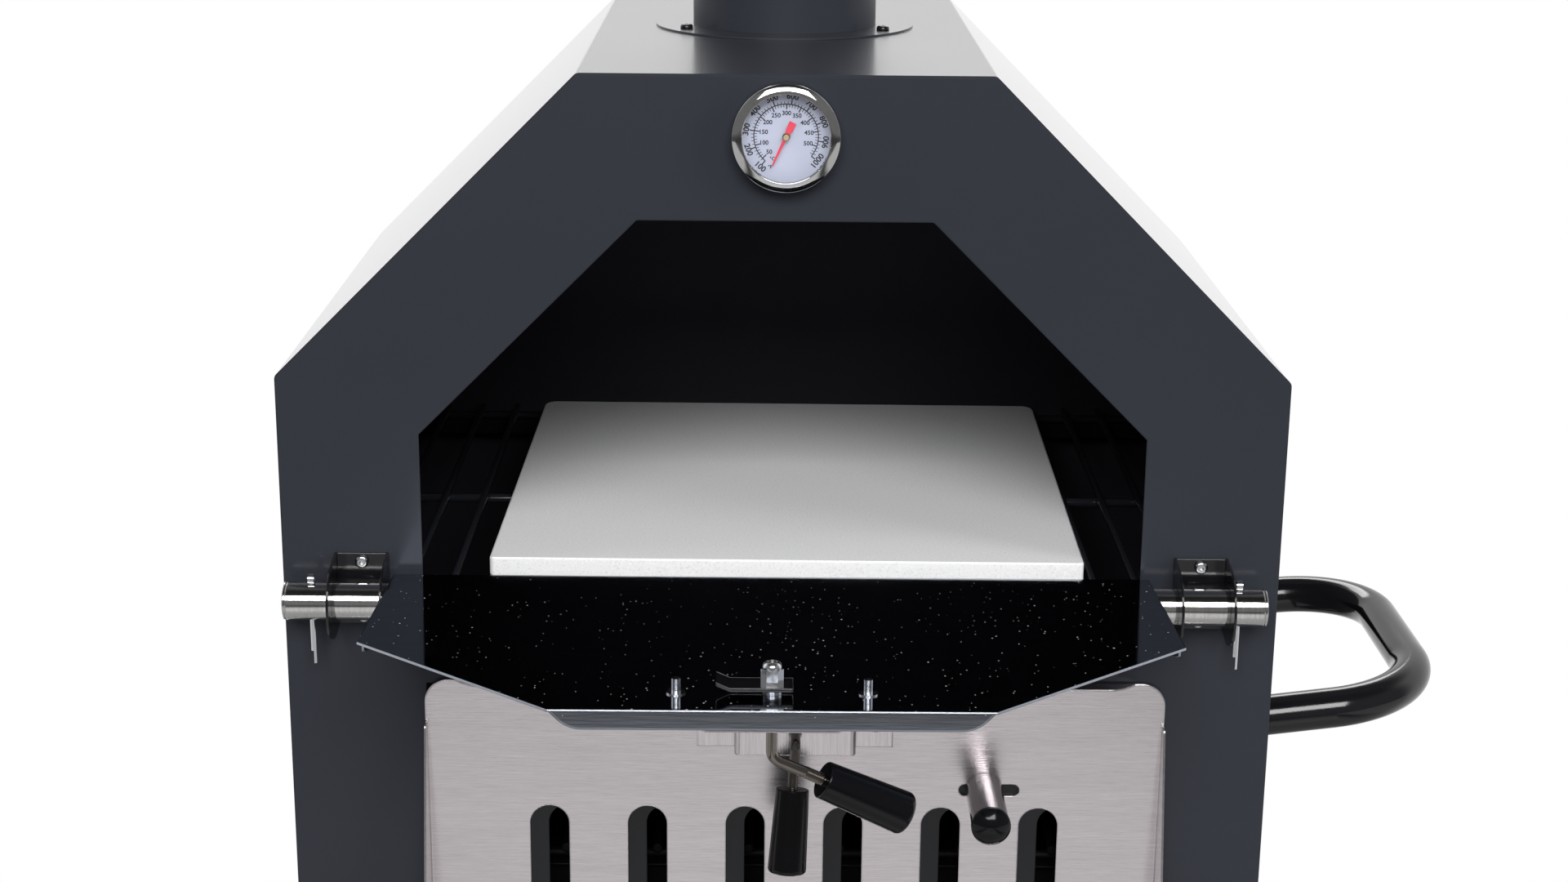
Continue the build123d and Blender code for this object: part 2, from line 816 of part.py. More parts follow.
def damper_knob_cap():
    """Domed cap in the knob's open end."""
    start = leaf_outer - damper_gap - knob_length
    radius = knob_cap_diameter / 2
    inside = tube_radius - tube_wall
    profile = [(0, -knob_cap_plug), (inside, -knob_cap_plug), (inside, 0)]
    profile += [(radius, 0), (radius, knob_cap_rim)]
    side = Polyline(*profile)
    peak = knob_cap_rim + knob_cap_dome
    middle = dome_middle(radius, knob_cap_rim, knob_cap_dome)
    dome = ThreePointArc((radius, knob_cap_rim), middle, (0, peak))
    back = Line((0, peak), (0, -knob_cap_plug))
    turned = revolve(make_face([side, dome, back]), Axis.Y)
    spot = Pos(knob_slot_across + knob_offset, -knob_slot_up, start)
    return spot * Rot(-90, 0, 0) * turned


# Places of the two doors and their latches


oven_door_place = Pos(oven_door_drift, -hinge_reach, oven_axis_height) * Rot(-rest_tilt, 0, 0)
fire_door_place = Pos(fire_door_drift, -hinge_reach, fire_axis_height) * Rot(-90, 0, 0)
oven_latch_place = oven_door_place * Pos(0, -oven_latch_up, leaf_height)
fire_latch_place = fire_door_place * Pos(0, -fire_latch_up, leaf_height)


# Thermometer, turned about y at the height of the dial; depth is measured in front of the panel


def turned_on_dial(face):
    """Ring turned about the dial's axis from a face of radius and distance in front."""
    return Pos(0, 0, dial_height) * Rot(0, 0, 180) * revolve(face, Axis.Y)


def thermometer_case():
    """Pan with a pressed bezel: a rolled edge, a gently crowned ring and a rounded inner lip."""
    outer = bezel_diameter / 2
    lip = outer - bezel_lip
    bore = needle_spindle * 2
    edge = (outer, bezel_depth - bezel_shoulder_drop)
    crown = (outer - bezel_shoulder, bezel_depth - bezel_crown_drop)
    inner = (lip, bezel_depth)
    points = [(bore, 0), (case_back_radius, 0), (outer, outer - case_back_radius), edge, crown, inner]
    points += [(lip, lens_depth), (case_cavity_radius, lens_depth)]
    points += [(case_cavity_radius, case_wall), (bore, case_wall)]
    face = rounded(outline(points), [edge], bezel_roll)
    face = rounded(face, [crown], bezel_crown)
    face = rounded(face, [inner], bezel_inner_round)
    return turned_on_dial(face)


def thermometer_lens():
    radius = case_cavity_radius - running_clearance
    low = lens_depth - lens_sheet
    return turned_on_dial(outline([(0, low), (radius, low), (radius, lens_depth), (0, lens_depth)]))


def thermometer_dial():
    radius = case_cavity_radius - dial_clearance
    low = case_wall + dial_from_back
    hole = needle_spindle + running_clearance
    top = low + dial_sheet
    return turned_on_dial(outline([(hole, low), (radius, low), (radius, top), (hole, top)]))


def needle_front():
    return case_wall + dial_from_back + dial_sheet + needle_height


def thermometer_needle():
    """Pointer: a long thin tip one way and a short wide tail the other way."""
    tail = needle_tail_width / 2
    tip = needle_tip_width / 2
    waist = tail / 2
    points = [(-tip, needle_tip), (tip, needle_tip), (waist, 0), (tail, -needle_tail * 0.5)]
    points += [(tail, -needle_tail), (-tail, -needle_tail), (-tail, -needle_tail * 0.5), (-waist, 0)]
    face = outline(points) - Circle(needle_spindle)
    needle = Rot(0, needle_angle, 0) * plate_xz(face, 0, needle_sheet)
    return Pos(0, -needle_front() - needle_sheet, dial_height) * needle


def thermometer_hub():
    """Brass hub on its spindle."""
    start = running_clearance
    front = needle_front() + needle_sheet
    top = front + needle_hub_height
    spindle = needle_spindle
    hub = needle_hub_radius
    points = [(0, start), (spindle, start), (spindle, front), (hub, front), (hub, top - hub / 3)]
    points += [(hub * 0.7, top), (0, top)]
    return turned_on_dial(outline(points))


def thermometer_stem():
    """Probe behind the panel with its threaded collar."""
    collar = stem_thread / 2
    probe = stem_diameter / 2
    tip = -stem_length
    points = [(0, 0), (collar, 0), (collar, -stem_thread_length), (probe, -stem_thread_length)]
    points += [(probe, tip + probe), (probe / 2, tip), (0, tip)]
    return turned_on_dial(outline(points))


def thermometer_nut():
    nut = hex_nut(stem_nut_across, stem_thread + running_clearance, stem_nut_height)
    return Pos(0, sheet, dial_height) * Rot(-90, 0, 0) * nut


# Chimney


def flue_screw_spots():
    spots = []
    for index in range(flue_screw_count):
        angle = radians(flue_screw_phase + index * 360 / flue_screw_count)
        radius = flue_screw_circle / 2
        spots.append((radius * cos(angle), flue_back + radius * sin(angle)))
    return spots


def chimney_flange():
    ring = Circle(flue_flange / 2) - Circle(flue_diameter / 2)
    for x, y in flue_screw_spots():
        ring -= Pos(x, y - flue_back) * Circle(m4_hole / 2)
    return Pos(0, flue_back, roof_height) * extrude(ring, flue_wall)


def chimney_pipe():
    ring = Circle(flue_diameter / 2) - Circle(flue_diameter / 2 - flue_wall)
    pipe = Pos(0, flue_back, roof_height) * extrude(ring, flue_height)
    return pipe - [Pos(0, 0, cap_screw_height) * turn * cap_screw_hole() for turn in cap_strap_turns()]


def chimney_screws():
    return [
        Pos(x, y, roof_height + flue_wall) * Rot(180, 0, 0) * m4_screw()
        for x, y in flue_screw_spots()
    ] + [Pos(0, 0, cap_screw_height) * turn * strap_screw() for turn in cap_strap_turns()]


def strap_screw():
    """Screw through a strap into the flue, drawn for the strap that lies along +x."""
    outer = flue_diameter / 2 + running_clearance + cap_strap_sheet
    return Pos(outer, 0, 0) * Rot(0, -90, 0) * m4_screw()


def cap_strap_turns():
    """Turn about the flue's axis for each strap of the rain cap."""
    return [
        Pos(0, flue_back, 0) * Rot(0, 0, flue_screw_phase + index * 360 / cap_strap_count)
        for index in range(cap_strap_count)
    ]


def rain_cap():
    """Shallow cone over the flue on three welded straps."""
    radius = rain_cap_diameter / 2
    base = roof_height + flue_height + rain_cap_gap
    rim = base - rain_cap_rim
    slope_gap = flue_wall * sqrt(1 + (rain_cap_rise / radius) ** 2)
    inner = radius - flue_wall
    points = [(0, base + rain_cap_rise), (radius, base), (radius, rim), (inner, rim)]
    points += [(inner, base - slope_gap / 2), (0, base + rain_cap_rise - slope_gap)]
    cone = revolve(outline(points), Axis.Y)
    cap = Pos(0, flue_back, 0) * Rot(90, 0, 0) * cone
    for turn in cap_strap_turns():
        cap += turn * cap_strap(base, radius)
        cap -= Pos(0, 0, cap_screw_height) * turn * cap_screw_hole()
    return cap


def cap_screw_hole():
    return Pos(flue_diameter / 2, 0, 0) * Rot(0, 90, 0) * Cylinder(m4_hole / 2, 2 * overrun)


def cap_strap(base, radius):
    """Strap along +x: riveted flat on the flue, leaning out to the underside of the cone."""
    wall = flue_diameter / 2 + running_clearance
    foot = roof_height + flue_height - cap_strap_lap
    flue_top = roof_height + flue_height
    out = (wall + radius) / 2
    roof = base + rain_cap_rise * (1 - out / radius) - flue_wall / 2
    points = [(wall, foot), (wall + cap_strap_sheet, foot), (wall + cap_strap_sheet, flue_top)]
    points += [(out + cap_strap_sheet, roof), (out, roof), (wall, flue_top)]
    return plate_xz(outline(points), -cap_strap_width / 2, cap_strap_width)


# Cooking level


def side_grid_rails():
    """Angle rails along both walls."""
    length = body_depth - 2 * sheet - rear_rail_width
    wall = half_width - sheet
    rails = []
    for side in (-1, 1):
        flat = Rectangle(rail_width, rail_sheet)
        upright = Rectangle(rail_sheet, rail_width)
        face = Pos(side * (wall - rail_width / 2), rail_top - rail_sheet / 2) * flat
        face += Pos(side * (wall - rail_sheet / 2), rail_top - rail_width / 2) * upright
        rails.append(plate_xz(face, sheet, length))
    return rails


def rear_grid_rail():
    """Channel along the rear wall with a lip that shows below the grid."""
    back = body_depth - sheet
    front = back - rear_rail_width
    low = rail_top - rail_lip
    points = [(front, rail_top), (back, rail_top), (back, low), (back - rail_sheet, low)]
    points += [(back - rail_sheet, rail_top - rail_sheet), (front + rail_sheet, rail_top - rail_sheet)]
    points += [(front + rail_sheet, low), (front, low)]
    width = body_width - 2 * sheet
    return Pos(-width / 2, 0, 0) * extrude(Plane.YZ * outline(points), width)


def rod_along_y(x, y, z, radius, length):
    return Pos(x, y + length / 2, z) * Rot(90, 0, 0) * Cylinder(radius, length)


def rod_along_x(y, z, radius, length):
    return Pos(0, y, z) * Rot(0, 90, 0) * Cylinder(radius, length)


def cooking_grid():
    """Rods from front to back on cross rods, welded where they touch."""
    long_z = stone_bottom - grid_rod / 2
    cross_z = rail_top + grid_cross_rod / 2
    last = grid_front + grid_depth - grid_cross_inset
    first = grid_front + grid_cross_inset
    places = (first, grid_cross_middle, last)
    cross = [rod_along_x(y, cross_z, grid_cross_rod / 2, 2 * grid_side) for y in places]
    rods = []
    for index in range(grid_rod_count):
        x = (index - (grid_rod_count - 1) / 2) * grid_pitch
        rods.append(rod_along_y(x, grid_front, long_z, grid_rod / 2, grid_depth))
    return Pos(grid_drift, 0, 0) * cross[0].fuse(*cross[1:], *rods)


def pizza_stone():
    """Square stone: rear corners well rounded, top and bottom edges eased."""
    half = stone_size / 2
    corners = [(-half, -half), (half, -half), (half, half), (-half, half)]
    face = rounded(outline(corners), corners[:2], stone_front_corner)
    face = rounded(face, corners[2:], stone_rear_corner)
    slab = extrude(face, stone_thickness)
    slab = chamfer(slab.edges().group_by(Axis.Z)[-1], stone_edge)
    slab = chamfer(slab.edges().group_by(Axis.Z)[0], stone_edge)
    return Pos(stone_drift, stone_front + half, stone_bottom) * Rot(0, 0, stone_turn) * slab


# Fire chamber


def pan_angle(length, rim_length, reach):
    """Angle strip of the pan: a wall that ends at x = reach, with a rim folded outward at its top."""
    wall = Pos(reach - sheet / 2, 0, (sheet + pan_height) / 2) * Box(sheet, length, pan_height - sheet)
    width = pan_rim + sheet
    rim = Pos(reach + pan_rim - width / 2, 0, pan_height - sheet / 2) * Box(width, rim_length, sheet)
    return wall + rim


def ash_pan():
    """Pan of five spot-welded sheets: a floor and four angle strips whose rims lie outward."""
    middle = Pos(0, pan_front + pan_depth / 2, floor_top)
    floor = Pos(0, 0, sheet / 2) * Box(pan_width, pan_depth, sheet)
    side = pan_angle(pan_depth, pan_depth + 2 * pan_rim, pan_width / 2)
    inside_width = pan_width - 2 * sheet
    end = pan_angle(inside_width, inside_width, pan_depth / 2)
    turns = ((side, 0), (end, 90), (side, 180), (end, 270))
    return [middle * floor] + [middle * Rot(0, 0, turn) * strip for strip, turn in turns]


def charcoal_grate():
    """Grate of rods that rests on the pan's rim."""
    bottom = floor_top + pan_height
    radius = grate_rod / 2
    depth = pan_depth + pan_rim
    front = pan_front - pan_rim / 2
    width = pan_width + pan_rim
    count = int((width - grate_rod) / grate_pitch)
    cross = []
    for index in range(grate_cross_count):
        share = index / (grate_cross_count - 1)
        y = front + grate_rod + share * (depth - 2 * grate_rod)
        cross.append(rod_along_x(y, bottom + radius, radius, width))
    rods = []
    for index in range(count + 1):
        x = (index - count / 2) * grate_pitch
        rods.append(rod_along_y(x, front, bottom + 3 * radius - weld_sink, radius, depth))
    return cross[0].fuse(*cross[1:], *rods)


# Side handle


def side_handle():
    """Bent tube that leans up from the right wall, with a plug and a threaded hole in each foot."""
    half = handle_span / 2
    start = -overrun
    path = FilletPolyline(
        (start, -half, 0), (handle_reach, -half, 0), (handle_reach, half, 0), (start, half, 0),
        radius=handle_bend)
    ring = Circle(handle_diameter / 2) - Circle(handle_diameter / 2 - handle_wall)
    foot = Plane((start, -half, 0), x_dir=(0, 1, 0), z_dir=(1, 0, 0))
    tube = sweep(foot * ring, path)
    plug = extrude(foot * Circle(handle_diameter / 2), overrun + handle_bolt_length)
    tube += plug + Pos(0, handle_span, 0) * plug
    tube = Pos(half_width, body_depth / 2, handle_height) * Rot(0, -handle_tilt, 0) * tube
    tube -= Pos(half_width - handle_reach / 2, body_depth / 2, handle_height) * Box(
        handle_reach, body_depth, handle_reach)
    for y in handle_arms:
        thread = Cylinder(handle_bolt / 2, handle_bolt_length)
        tube -= Pos(half_width, y, handle_height) * Rot(0, 90, 0) * thread
    return tube


def handle_bolts():
    """Bolts from inside the body into the handle's feet."""
    radius = handle_bolt_head / 2
    head = extrude(RegularPolygon(radius, 6, major_radius=False), handle_bolt_head_height)
    shank = Pos(0, 0, handle_bolt_head_height) * extrude(Circle(handle_bolt / 2), handle_bolt_length / 2)
    bolt = head + shank
    inside = half_width - sheet - handle_bolt_head_height
    return [Pos(inside, y, handle_height) * Rot(0, 90, 0) * bolt for y in handle_arms]


# Stand


def leg_rows():
    """Middle of the front legs and of the rear legs in y."""
    return (sheet + leg_size / 2, body_depth - sheet - leg_size / 2)


def leg_bolt_heights():
    first = leg_top - leg_bolt_from_floor
    return (first, first - leg_bolt_pitch)


def leg_bolt_holes(side):
    holes = []
    for y in leg_rows():
        for z in leg_bolt_heights():
            hole = Cylinder(leg_bolt / 2 + running_clearance, overrun)
            holes.append(Pos(side * half_width, y, z) * Rot(0, 90, 0) * hole)
    return holes


def legs(side, bottom):
    """Two square tubes, inside the wall on one side, with holes for their bolts."""
    x = side * (half_width - sheet - leg_size / 2)
    length = leg_top - bottom
    inside = leg_size - 2 * leg_wall
    tubes = []
    for y in leg_rows():
        tube = Box(leg_size, leg_size, length) - Box(inside, inside, length)
        tube = Pos(x, y, bottom + length / 2) * tube
        face_x = side * (half_width - sheet)
        for z in leg_bolt_heights() + (shelf_height - shelf_bolt_drop,):
            hole = Rot(0, 90, 0) * Cylinder(leg_bolt / 2, leg_wall * 3)
            tube -= Pos(face_x, y, z) * hole
        through = Rot(0, 90, 0) * Cylinder(leg_bolt / 2, leg_wall * 3)
        tube -= Pos(x - side * leg_size / 2, y, shelf_height - shelf_bolt_drop) * through
        tubes.append(tube)
    return tubes


def left_legs():
    axle = Pos(wheel_x, body_depth / 2, wheel_radius) * Rot(90, 0, 0)
    bore = axle * Cylinder(axle_diameter / 2, body_depth)
    return [leg - bore for leg in legs(-1, wheel_radius - leg_below_axle)]


def right_legs():
    return legs(1, foot_height - foot_cup)


def leg_bolts():
    """Bolts through the walls into the legs, and through the legs into the shelf's rim."""
    bolt = screw(
        leg_bolt, leg_bolt_length, leg_bolt_head, leg_bolt_head_height, leg_bolt_socket, leg_bolt_socket_depth)
    long_bolt = screw(
        leg_bolt, leg_size + leg_bolt_length / 2, leg_bolt_head, leg_bolt_head_height,
        leg_bolt_socket, leg_bolt_socket_depth)
    bolts = []
    for side in (-1, 1):
        inwards = Rot(0, -90 * side, 0)
        for y in leg_rows():
            for z in leg_bolt_heights():
                bolts.append(Pos(side * half_width, y, z) * inwards * bolt)
            outside = side * (half_width - sheet)
            bolts.append(Pos(outside, y, shelf_height - shelf_bolt_drop) * inwards * long_bolt)
    return bolts


def lower_shelf():
    """Folded shelf between the legs with rows of slots, its rim bolted to the legs."""
    half_x = half_width - sheet - leg_size - shelf_gap
    width = 2 * half_x
    depth = body_depth - 2 * sheet
    shelf = Box(width, depth, shelf_rim)
    shelf -= Pos(0, 0, -sheet) * Box(width - 2 * sheet, depth - 2 * sheet, shelf_rim)
    shelf = Pos(0, body_depth / 2, shelf_height - shelf_rim / 2) * shelf
    row_pitch = depth / shelf_vent_rows
    for row in range(shelf_vent_rows):
        y = body_depth / 2 + (row - (shelf_vent_rows - 1) / 2) * row_pitch
        for column in range(shelf_vent_columns):
            x = (column - (shelf_vent_columns - 1) / 2) * shelf_vent_pitch
            slot = extrude(Rot(0, 0, 90) * stadium(shelf_vent_length, shelf_vent_width), overrun)
            shelf -= Pos(x, y, shelf_height - overrun / 2) * slot
    for side in (-1, 1):
        for y in leg_rows():
            hole = Rot(0, 90, 0) * Cylinder(leg_bolt / 2 + running_clearance, overrun)
            shelf -= Pos(side * half_x, y, shelf_height - shelf_bolt_drop) * hole
    return shelf


def wheel_inner_faces():
    """Inner face of the front wheel and of the rear wheel in y."""
    return (sheet - axle_washer_gap, body_depth - sheet + axle_washer_gap)


def wheel_axle():
    """Axle through both left legs, out to the caps, with a collar beside each leg."""
    front, rear = wheel_inner_faces()
    start = front - wheel_width - axle_cap_height / 2
    end = rear + wheel_width + axle_cap_height / 2
    axle = rod_along_y(0, start, 0, axle_diameter / 2, end - start)
    collar = axle_washer_gap - running_clearance
    axle += rod_along_y(0, sheet - collar, 0, axle_diameter, collar)
    axle += rod_along_y(0, body_depth - sheet, 0, axle_diameter, collar)
    return Pos(wheel_x, 0, wheel_radius) * axle


def wheel(y):
    """Moulded wheel: tread, rim, web with spokes, and a long hub."""
    outer = wheel_radius
    inner = outer - wheel_tread
    drum = inner - wheel_rim
    tread = Cylinder(outer, wheel_width) - Cylinder(inner - wheel_rim, wheel_width)
    tread = fillet(tread.edges().filter_by(GeomType.CIRCLE).sort_by(SortBy.RADIUS)[-2:], wheel_edge_round)
    hub = Cylinder(wheel_hub_radius, wheel_width)
    web = Cylinder(drum + wheel_rim / 2, wheel_web)
    gap = wheel_hub_radius + wheel_rim
    window = Circle(drum - wheel_rim) - Circle(gap)
    for index in range(wheel_spoke_count):
        turn = Rot(0, 0, index * 360 / wheel_spoke_count)
        window -= turn * Pos(drum / 2, 0) * Rectangle(drum, wheel_spoke_width)
    web -= Pos(0, 0, -wheel_web) * extrude(window, 2 * wheel_web)
    solid = tread + web + hub - Cylinder(axle_diameter / 2 + axle_clearance, wheel_width)
    return Pos(wheel_x, y, wheel_radius) * Rot(90, 0, 0) * solid


def front_wheel():
    return wheel(wheel_inner_faces()[0] - wheel_width / 2)


def rear_wheel():
    return wheel(wheel_inner_faces()[1] + wheel_width / 2)


def axle_caps():
    """Push-on caps that keep the wheels on the axle."""
    front, rear = wheel_inner_faces()
    gap = running_clearance * 3
    dome = Cylinder(axle_cap_radius, axle_cap_height)
    dome = fillet(dome.edges().group_by(Axis.Z)[-1], axle_cap_height / 2)
    bore_depth = axle_cap_height / 2
    dome -= Pos(0, 0, -bore_depth / 2) * Cylinder(axle_diameter / 2 + axle_clearance, bore_depth)
    caps = [
        Pos(wheel_x, front - wheel_width - gap - axle_cap_height / 2, wheel_radius) * Rot(90, 0, 0) * dome,
        Pos(wheel_x, rear + wheel_width + gap + axle_cap_height / 2, wheel_radius) * Rot(-90, 0, 0) * dome,
    ]
    return caps


def leg_feet():
    """Cup feet under the right legs and flat plugs in the left ones."""
    pieces = []
    x = half_width - sheet - leg_size / 2
    for y in leg_rows():
        cup = Box(foot_size, foot_size, foot_height)
        cup = fillet(cup.edges().filter_by(Axis.Z), foot_size / 8)
        cup = chamfer(cup.edges().group_by(Axis.Z)[0], foot_size / 16)
        socket = leg_size + 2 * foot_gap
        cup -= Pos(0, 0, foot_height / 2 - foot_cup / 2) * Box(socket, socket, foot_cup)
        pieces.append(Pos(x, y, foot_height / 2) * cup)
        inside = leg_size - 2 * leg_wall - 2 * plug_gap
        plug = Pos(0, 0, -plug_height / 2) * Box(leg_size, leg_size, plug_height)
        plug += Pos(0, 0, plug_depth / 2) * Box(inside, inside, plug_depth)
        pieces.append(Pos(wheel_x, y, wheel_radius - leg_below_axle) * plug)
    return pieces


# All pieces by name


def placed(place, shapes):
    """Carry a shape or a list of shapes to its place."""
    if isinstance(shapes, list):
        return [place * shape for shape in shapes]
    return place * shapes


def all_pieces():
    return {
        "front_panel": front_panel(),
        "left_wall": left_wall(),
        "right_wall": right_wall(),
        "left_slope": left_slope(),
        "right_slope": right_slope(),
        "roof_panel": roof_panel(),
        "rear_panel": rear_panel(),
        "floor_panel": floor_panel(),
        "side_grid_rails": side_grid_rails(),
        "rear_grid_rail": rear_grid_rail(),
        "cooking_grid": cooking_grid(),
        "pizza_stone": pizza_stone(),
        "ash_pan": ash_pan(),
        "charcoal_grate": charcoal_grate(),
        "chimney_flange": chimney_flange(),
        "chimney_pipe": chimney_pipe(),
        "chimney_screws": chimney_screws(),
        "rain_cap": rain_cap(),
        "thermometer_case": thermometer_case(),
        "thermometer_lens": thermometer_lens(),
        "thermometer_dial": thermometer_dial(),
        "thermometer_needle": thermometer_needle(),
        "thermometer_hub": thermometer_hub(),
        "thermometer_stem": thermometer_stem(),
        "thermometer_nut": thermometer_nut(),
        "hinge_brackets": hinge_brackets(),
        "bracket_screws": bracket_screws(),
        "bracket_nuts": bracket_nuts(),
        "hinge_tubes": hinge_tubes(),
        "hinge_tube_caps": hinge_tube_caps(),
        "hinge_pins": hinge_pins(),
        "oven_door_leaf": placed(oven_door_place, oven_leaf()),
        "oven_latch_bracket": placed(oven_latch_place, hat_bracket()),
        "oven_door_fixings": placed(oven_latch_place, hat_fixings()),
        "oven_latch_lever": placed(oven_latch_place, latch_lever(*oven_lever)),
        "oven_latch_grip": placed(oven_latch_place, latch_grip(*oven_lever)),
        "oven_latch_tongue": placed(oven_latch_place, latch_tongue(oven_tongue_angle)),
        "oven_latch_nuts": placed(oven_latch_place, latch_nuts()),
        "fire_door_leaf": placed(fire_door_place, fire_leaf()),
        "fire_latch_bracket": placed(fire_latch_place, hat_bracket()),
        "fire_door_fixings": placed(fire_latch_place, hat_fixings()),
        "fire_latch_lever": placed(fire_latch_place, latch_lever(*fire_lever)),
        "fire_latch_grip": placed(fire_latch_place, latch_grip(*fire_lever)),
        "fire_latch_tongue": placed(fire_latch_place, latch_tongue(fire_tongue_angle)),
        "fire_latch_nuts": placed(fire_latch_place, latch_nuts()),
        "damper_plate": placed(fire_door_place, damper_plate()),
        "damper_guides": placed(fire_door_place, damper_guides()),
        "damper_knob": placed(fire_door_place, damper_knob()),
        "damper_knob_cap": placed(fire_door_place, damper_knob_cap()),
        "side_handle": side_handle(),
        "handle_bolts": handle_bolts(),
        "left_legs": left_legs(),
        "right_legs": right_legs(),
        "leg_bolts": leg_bolts(),
        "lower_shelf": lower_shelf(),
        "wheel_axle": wheel_axle(),
        "front_wheel": front_wheel(),
        "rear_wheel": rear_wheel(),
        "axle_caps": axle_caps(),
        "leg_feet": leg_feet(),
    }


def as_list(shapes):
    return shapes if isinstance(shapes, list) else [shapes]


def to_origin(pieces):
    """Move that puts the middle of the oven's outline, on the ground, at the origin."""
    shapes = [shape for piece in pieces.values() for shape in as_list(piece)]
    everything = Compound(children=[Compound(shape.wrapped) for shape in shapes])
    box = everything.bounding_box()
    middle = box.center()
    return Pos(-middle.X, -middle.Y, -box.min.Z)


pieces = all_pieces()
move = to_origin(pieces)
os.makedirs("parts", exist_ok=True)
for name, shapes in pieces.items():
    solids = [solid for shape in as_list(shapes) for solid in (move * shape).solids()]
    export_step(solids[0] if len(solids) == 1 else Compound(children=solids), f"parts/{name}.step")
print("moved by", move.position)
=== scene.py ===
# %% [markdown]
# # A charcoal pizza oven in folded sheet steel
# The real oven is a house of thin painted steel on a wheeled stand. A door that swings down opens the
# cooking chamber, and a brushed stainless door below it feeds the fire. Its shapes are already exact in
# the model that is loaded here, so this lesson is about finishes, light, the printed dial and two threads.

# %% Load the oven
import bpy, bmesh
from math import sin, cos, radians, pi
from mathutils import Matrix, Vector


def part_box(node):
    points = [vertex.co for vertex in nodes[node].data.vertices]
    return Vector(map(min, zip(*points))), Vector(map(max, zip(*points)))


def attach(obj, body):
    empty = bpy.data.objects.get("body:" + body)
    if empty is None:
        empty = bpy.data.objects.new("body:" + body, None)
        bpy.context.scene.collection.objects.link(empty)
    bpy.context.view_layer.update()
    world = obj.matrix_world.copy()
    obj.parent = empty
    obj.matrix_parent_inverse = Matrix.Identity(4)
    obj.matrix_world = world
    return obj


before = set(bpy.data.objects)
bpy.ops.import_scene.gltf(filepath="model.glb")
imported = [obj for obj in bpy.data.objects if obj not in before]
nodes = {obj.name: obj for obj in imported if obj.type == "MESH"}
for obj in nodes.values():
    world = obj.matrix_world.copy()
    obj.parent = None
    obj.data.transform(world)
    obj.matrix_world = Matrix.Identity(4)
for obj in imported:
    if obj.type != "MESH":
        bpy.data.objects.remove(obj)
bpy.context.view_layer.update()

# %% [markdown]
# Three landmarks place everything else: the middle of the front panel, its front face and the roof line.
# They are read from the model, so the camera and the soot follow it if it moves.

# %% Landmarks
panel_low, panel_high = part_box("front_panel")
middle = (panel_low.x + panel_high.x) / 2
front = panel_low.y
roof_line = panel_high.z
print("middle", middle, "front", front, "roof line", roof_line)

# %% [markdown]
# The camera stands where a photographer would, a little above the roof and looking down. Its place and
# angles were solved from the straight edges of the sheet steel, so the picture can be laid over the photo.

# %% The camera
focal_length, film_width = 57.93, 36
yaw, pitch, roll = radians(0.4464), radians(16.1594), radians(-0.5656)
standpoint = (middle - 0.0089, front - 1.1974, 1.4662)


def put(name, data):
    """Makes an object and links it into the scene."""
    made = bpy.data.objects.new(name, data)
    bpy.context.scene.collection.objects.link(made)
    return made


camera_data = bpy.data.cameras.new("photographer")
camera_data.lens = focal_length
camera_data.sensor_width = film_width
camera = put("photographer", camera_data)
ahead = Vector((sin(yaw) * cos(pitch), cos(yaw) * cos(pitch), -sin(pitch)))
level = Vector((cos(yaw), -sin(yaw), 0))
down = ahead.cross(level)
right = level * cos(roll) + down * sin(roll)
up = level * sin(roll) - down * cos(roll)
turn = Matrix((right, up, -ahead)).transposed().to_4x4()
camera.matrix_world = Matrix.Translation(standpoint) @ turn
bpy.context.scene.camera = camera
print("camera at", tuple(camera.location))

# %% [markdown]
# Every finish here is a small tree of shader nodes. A few short helpers keep the trees readable: one adds
# a node and wires its inputs, and another starts a material and hands back its tree and surface shader.

# %% Helpers for shader trees
def add(tree, kind, inputs=None, **settings):
    """Adds a node, sets its options, and fills its inputs with values or with other nodes' outputs."""
    made = tree.nodes.new(kind)
    for name, value in settings.items():
        setattr(made, name, value)
    for name, value in (inputs or {}).items():
        if isinstance(value, bpy.types.NodeSocket):
            tree.links.new(value, made.inputs[name])
        else:
            made.inputs[name].default_value = value
    return made


def new_material(name):
    """Starts a material, and returns it with its tree and its surface shader."""
    material = bpy.data.materials.new(name)
    material.use_nodes = True
    return material, material.node_tree, material.node_tree.nodes["Principled BSDF"]


def math(tree, operation, a, b=0.0, c=0.0):
    """One sum on two or three values, and its answer."""
    return add(tree, "ShaderNodeMath", {0: a, 1: b, 2: c}, operation=operation).outputs[0]


def place_on(tree, tilt=(0, 0, 0)):
    """The point on the surface in metres, turned by three angles."""
    where = add(tree, "ShaderNodeTexCoord").outputs["Object"]
    return add(tree, "ShaderNodeMapping", {"Vector": where, "Rotation": tilt}).outputs["Vector"]


def noise(tree, where, scale, detail=2.0, roughness=0.5):
    """Soft cloudy noise from 0 to 1."""
    return add(tree, "ShaderNodeTexNoise", {"Vector": where, "Scale": scale, "Detail": detail,
                                            "Roughness": roughness}).outputs["Fac"]


def spread(tree, value, low, high, out_low=0.0, out_high=1.0, curve="LINEAR"):
    """Stretches the part of a value between two limits over a new range."""
    return add(tree, "ShaderNodeMapRange", {"Value": value, "From Min": low, "From Max": high,
                                            "To Min": out_low, "To Max": out_high},
               interpolation_type=curve).outputs["Result"]


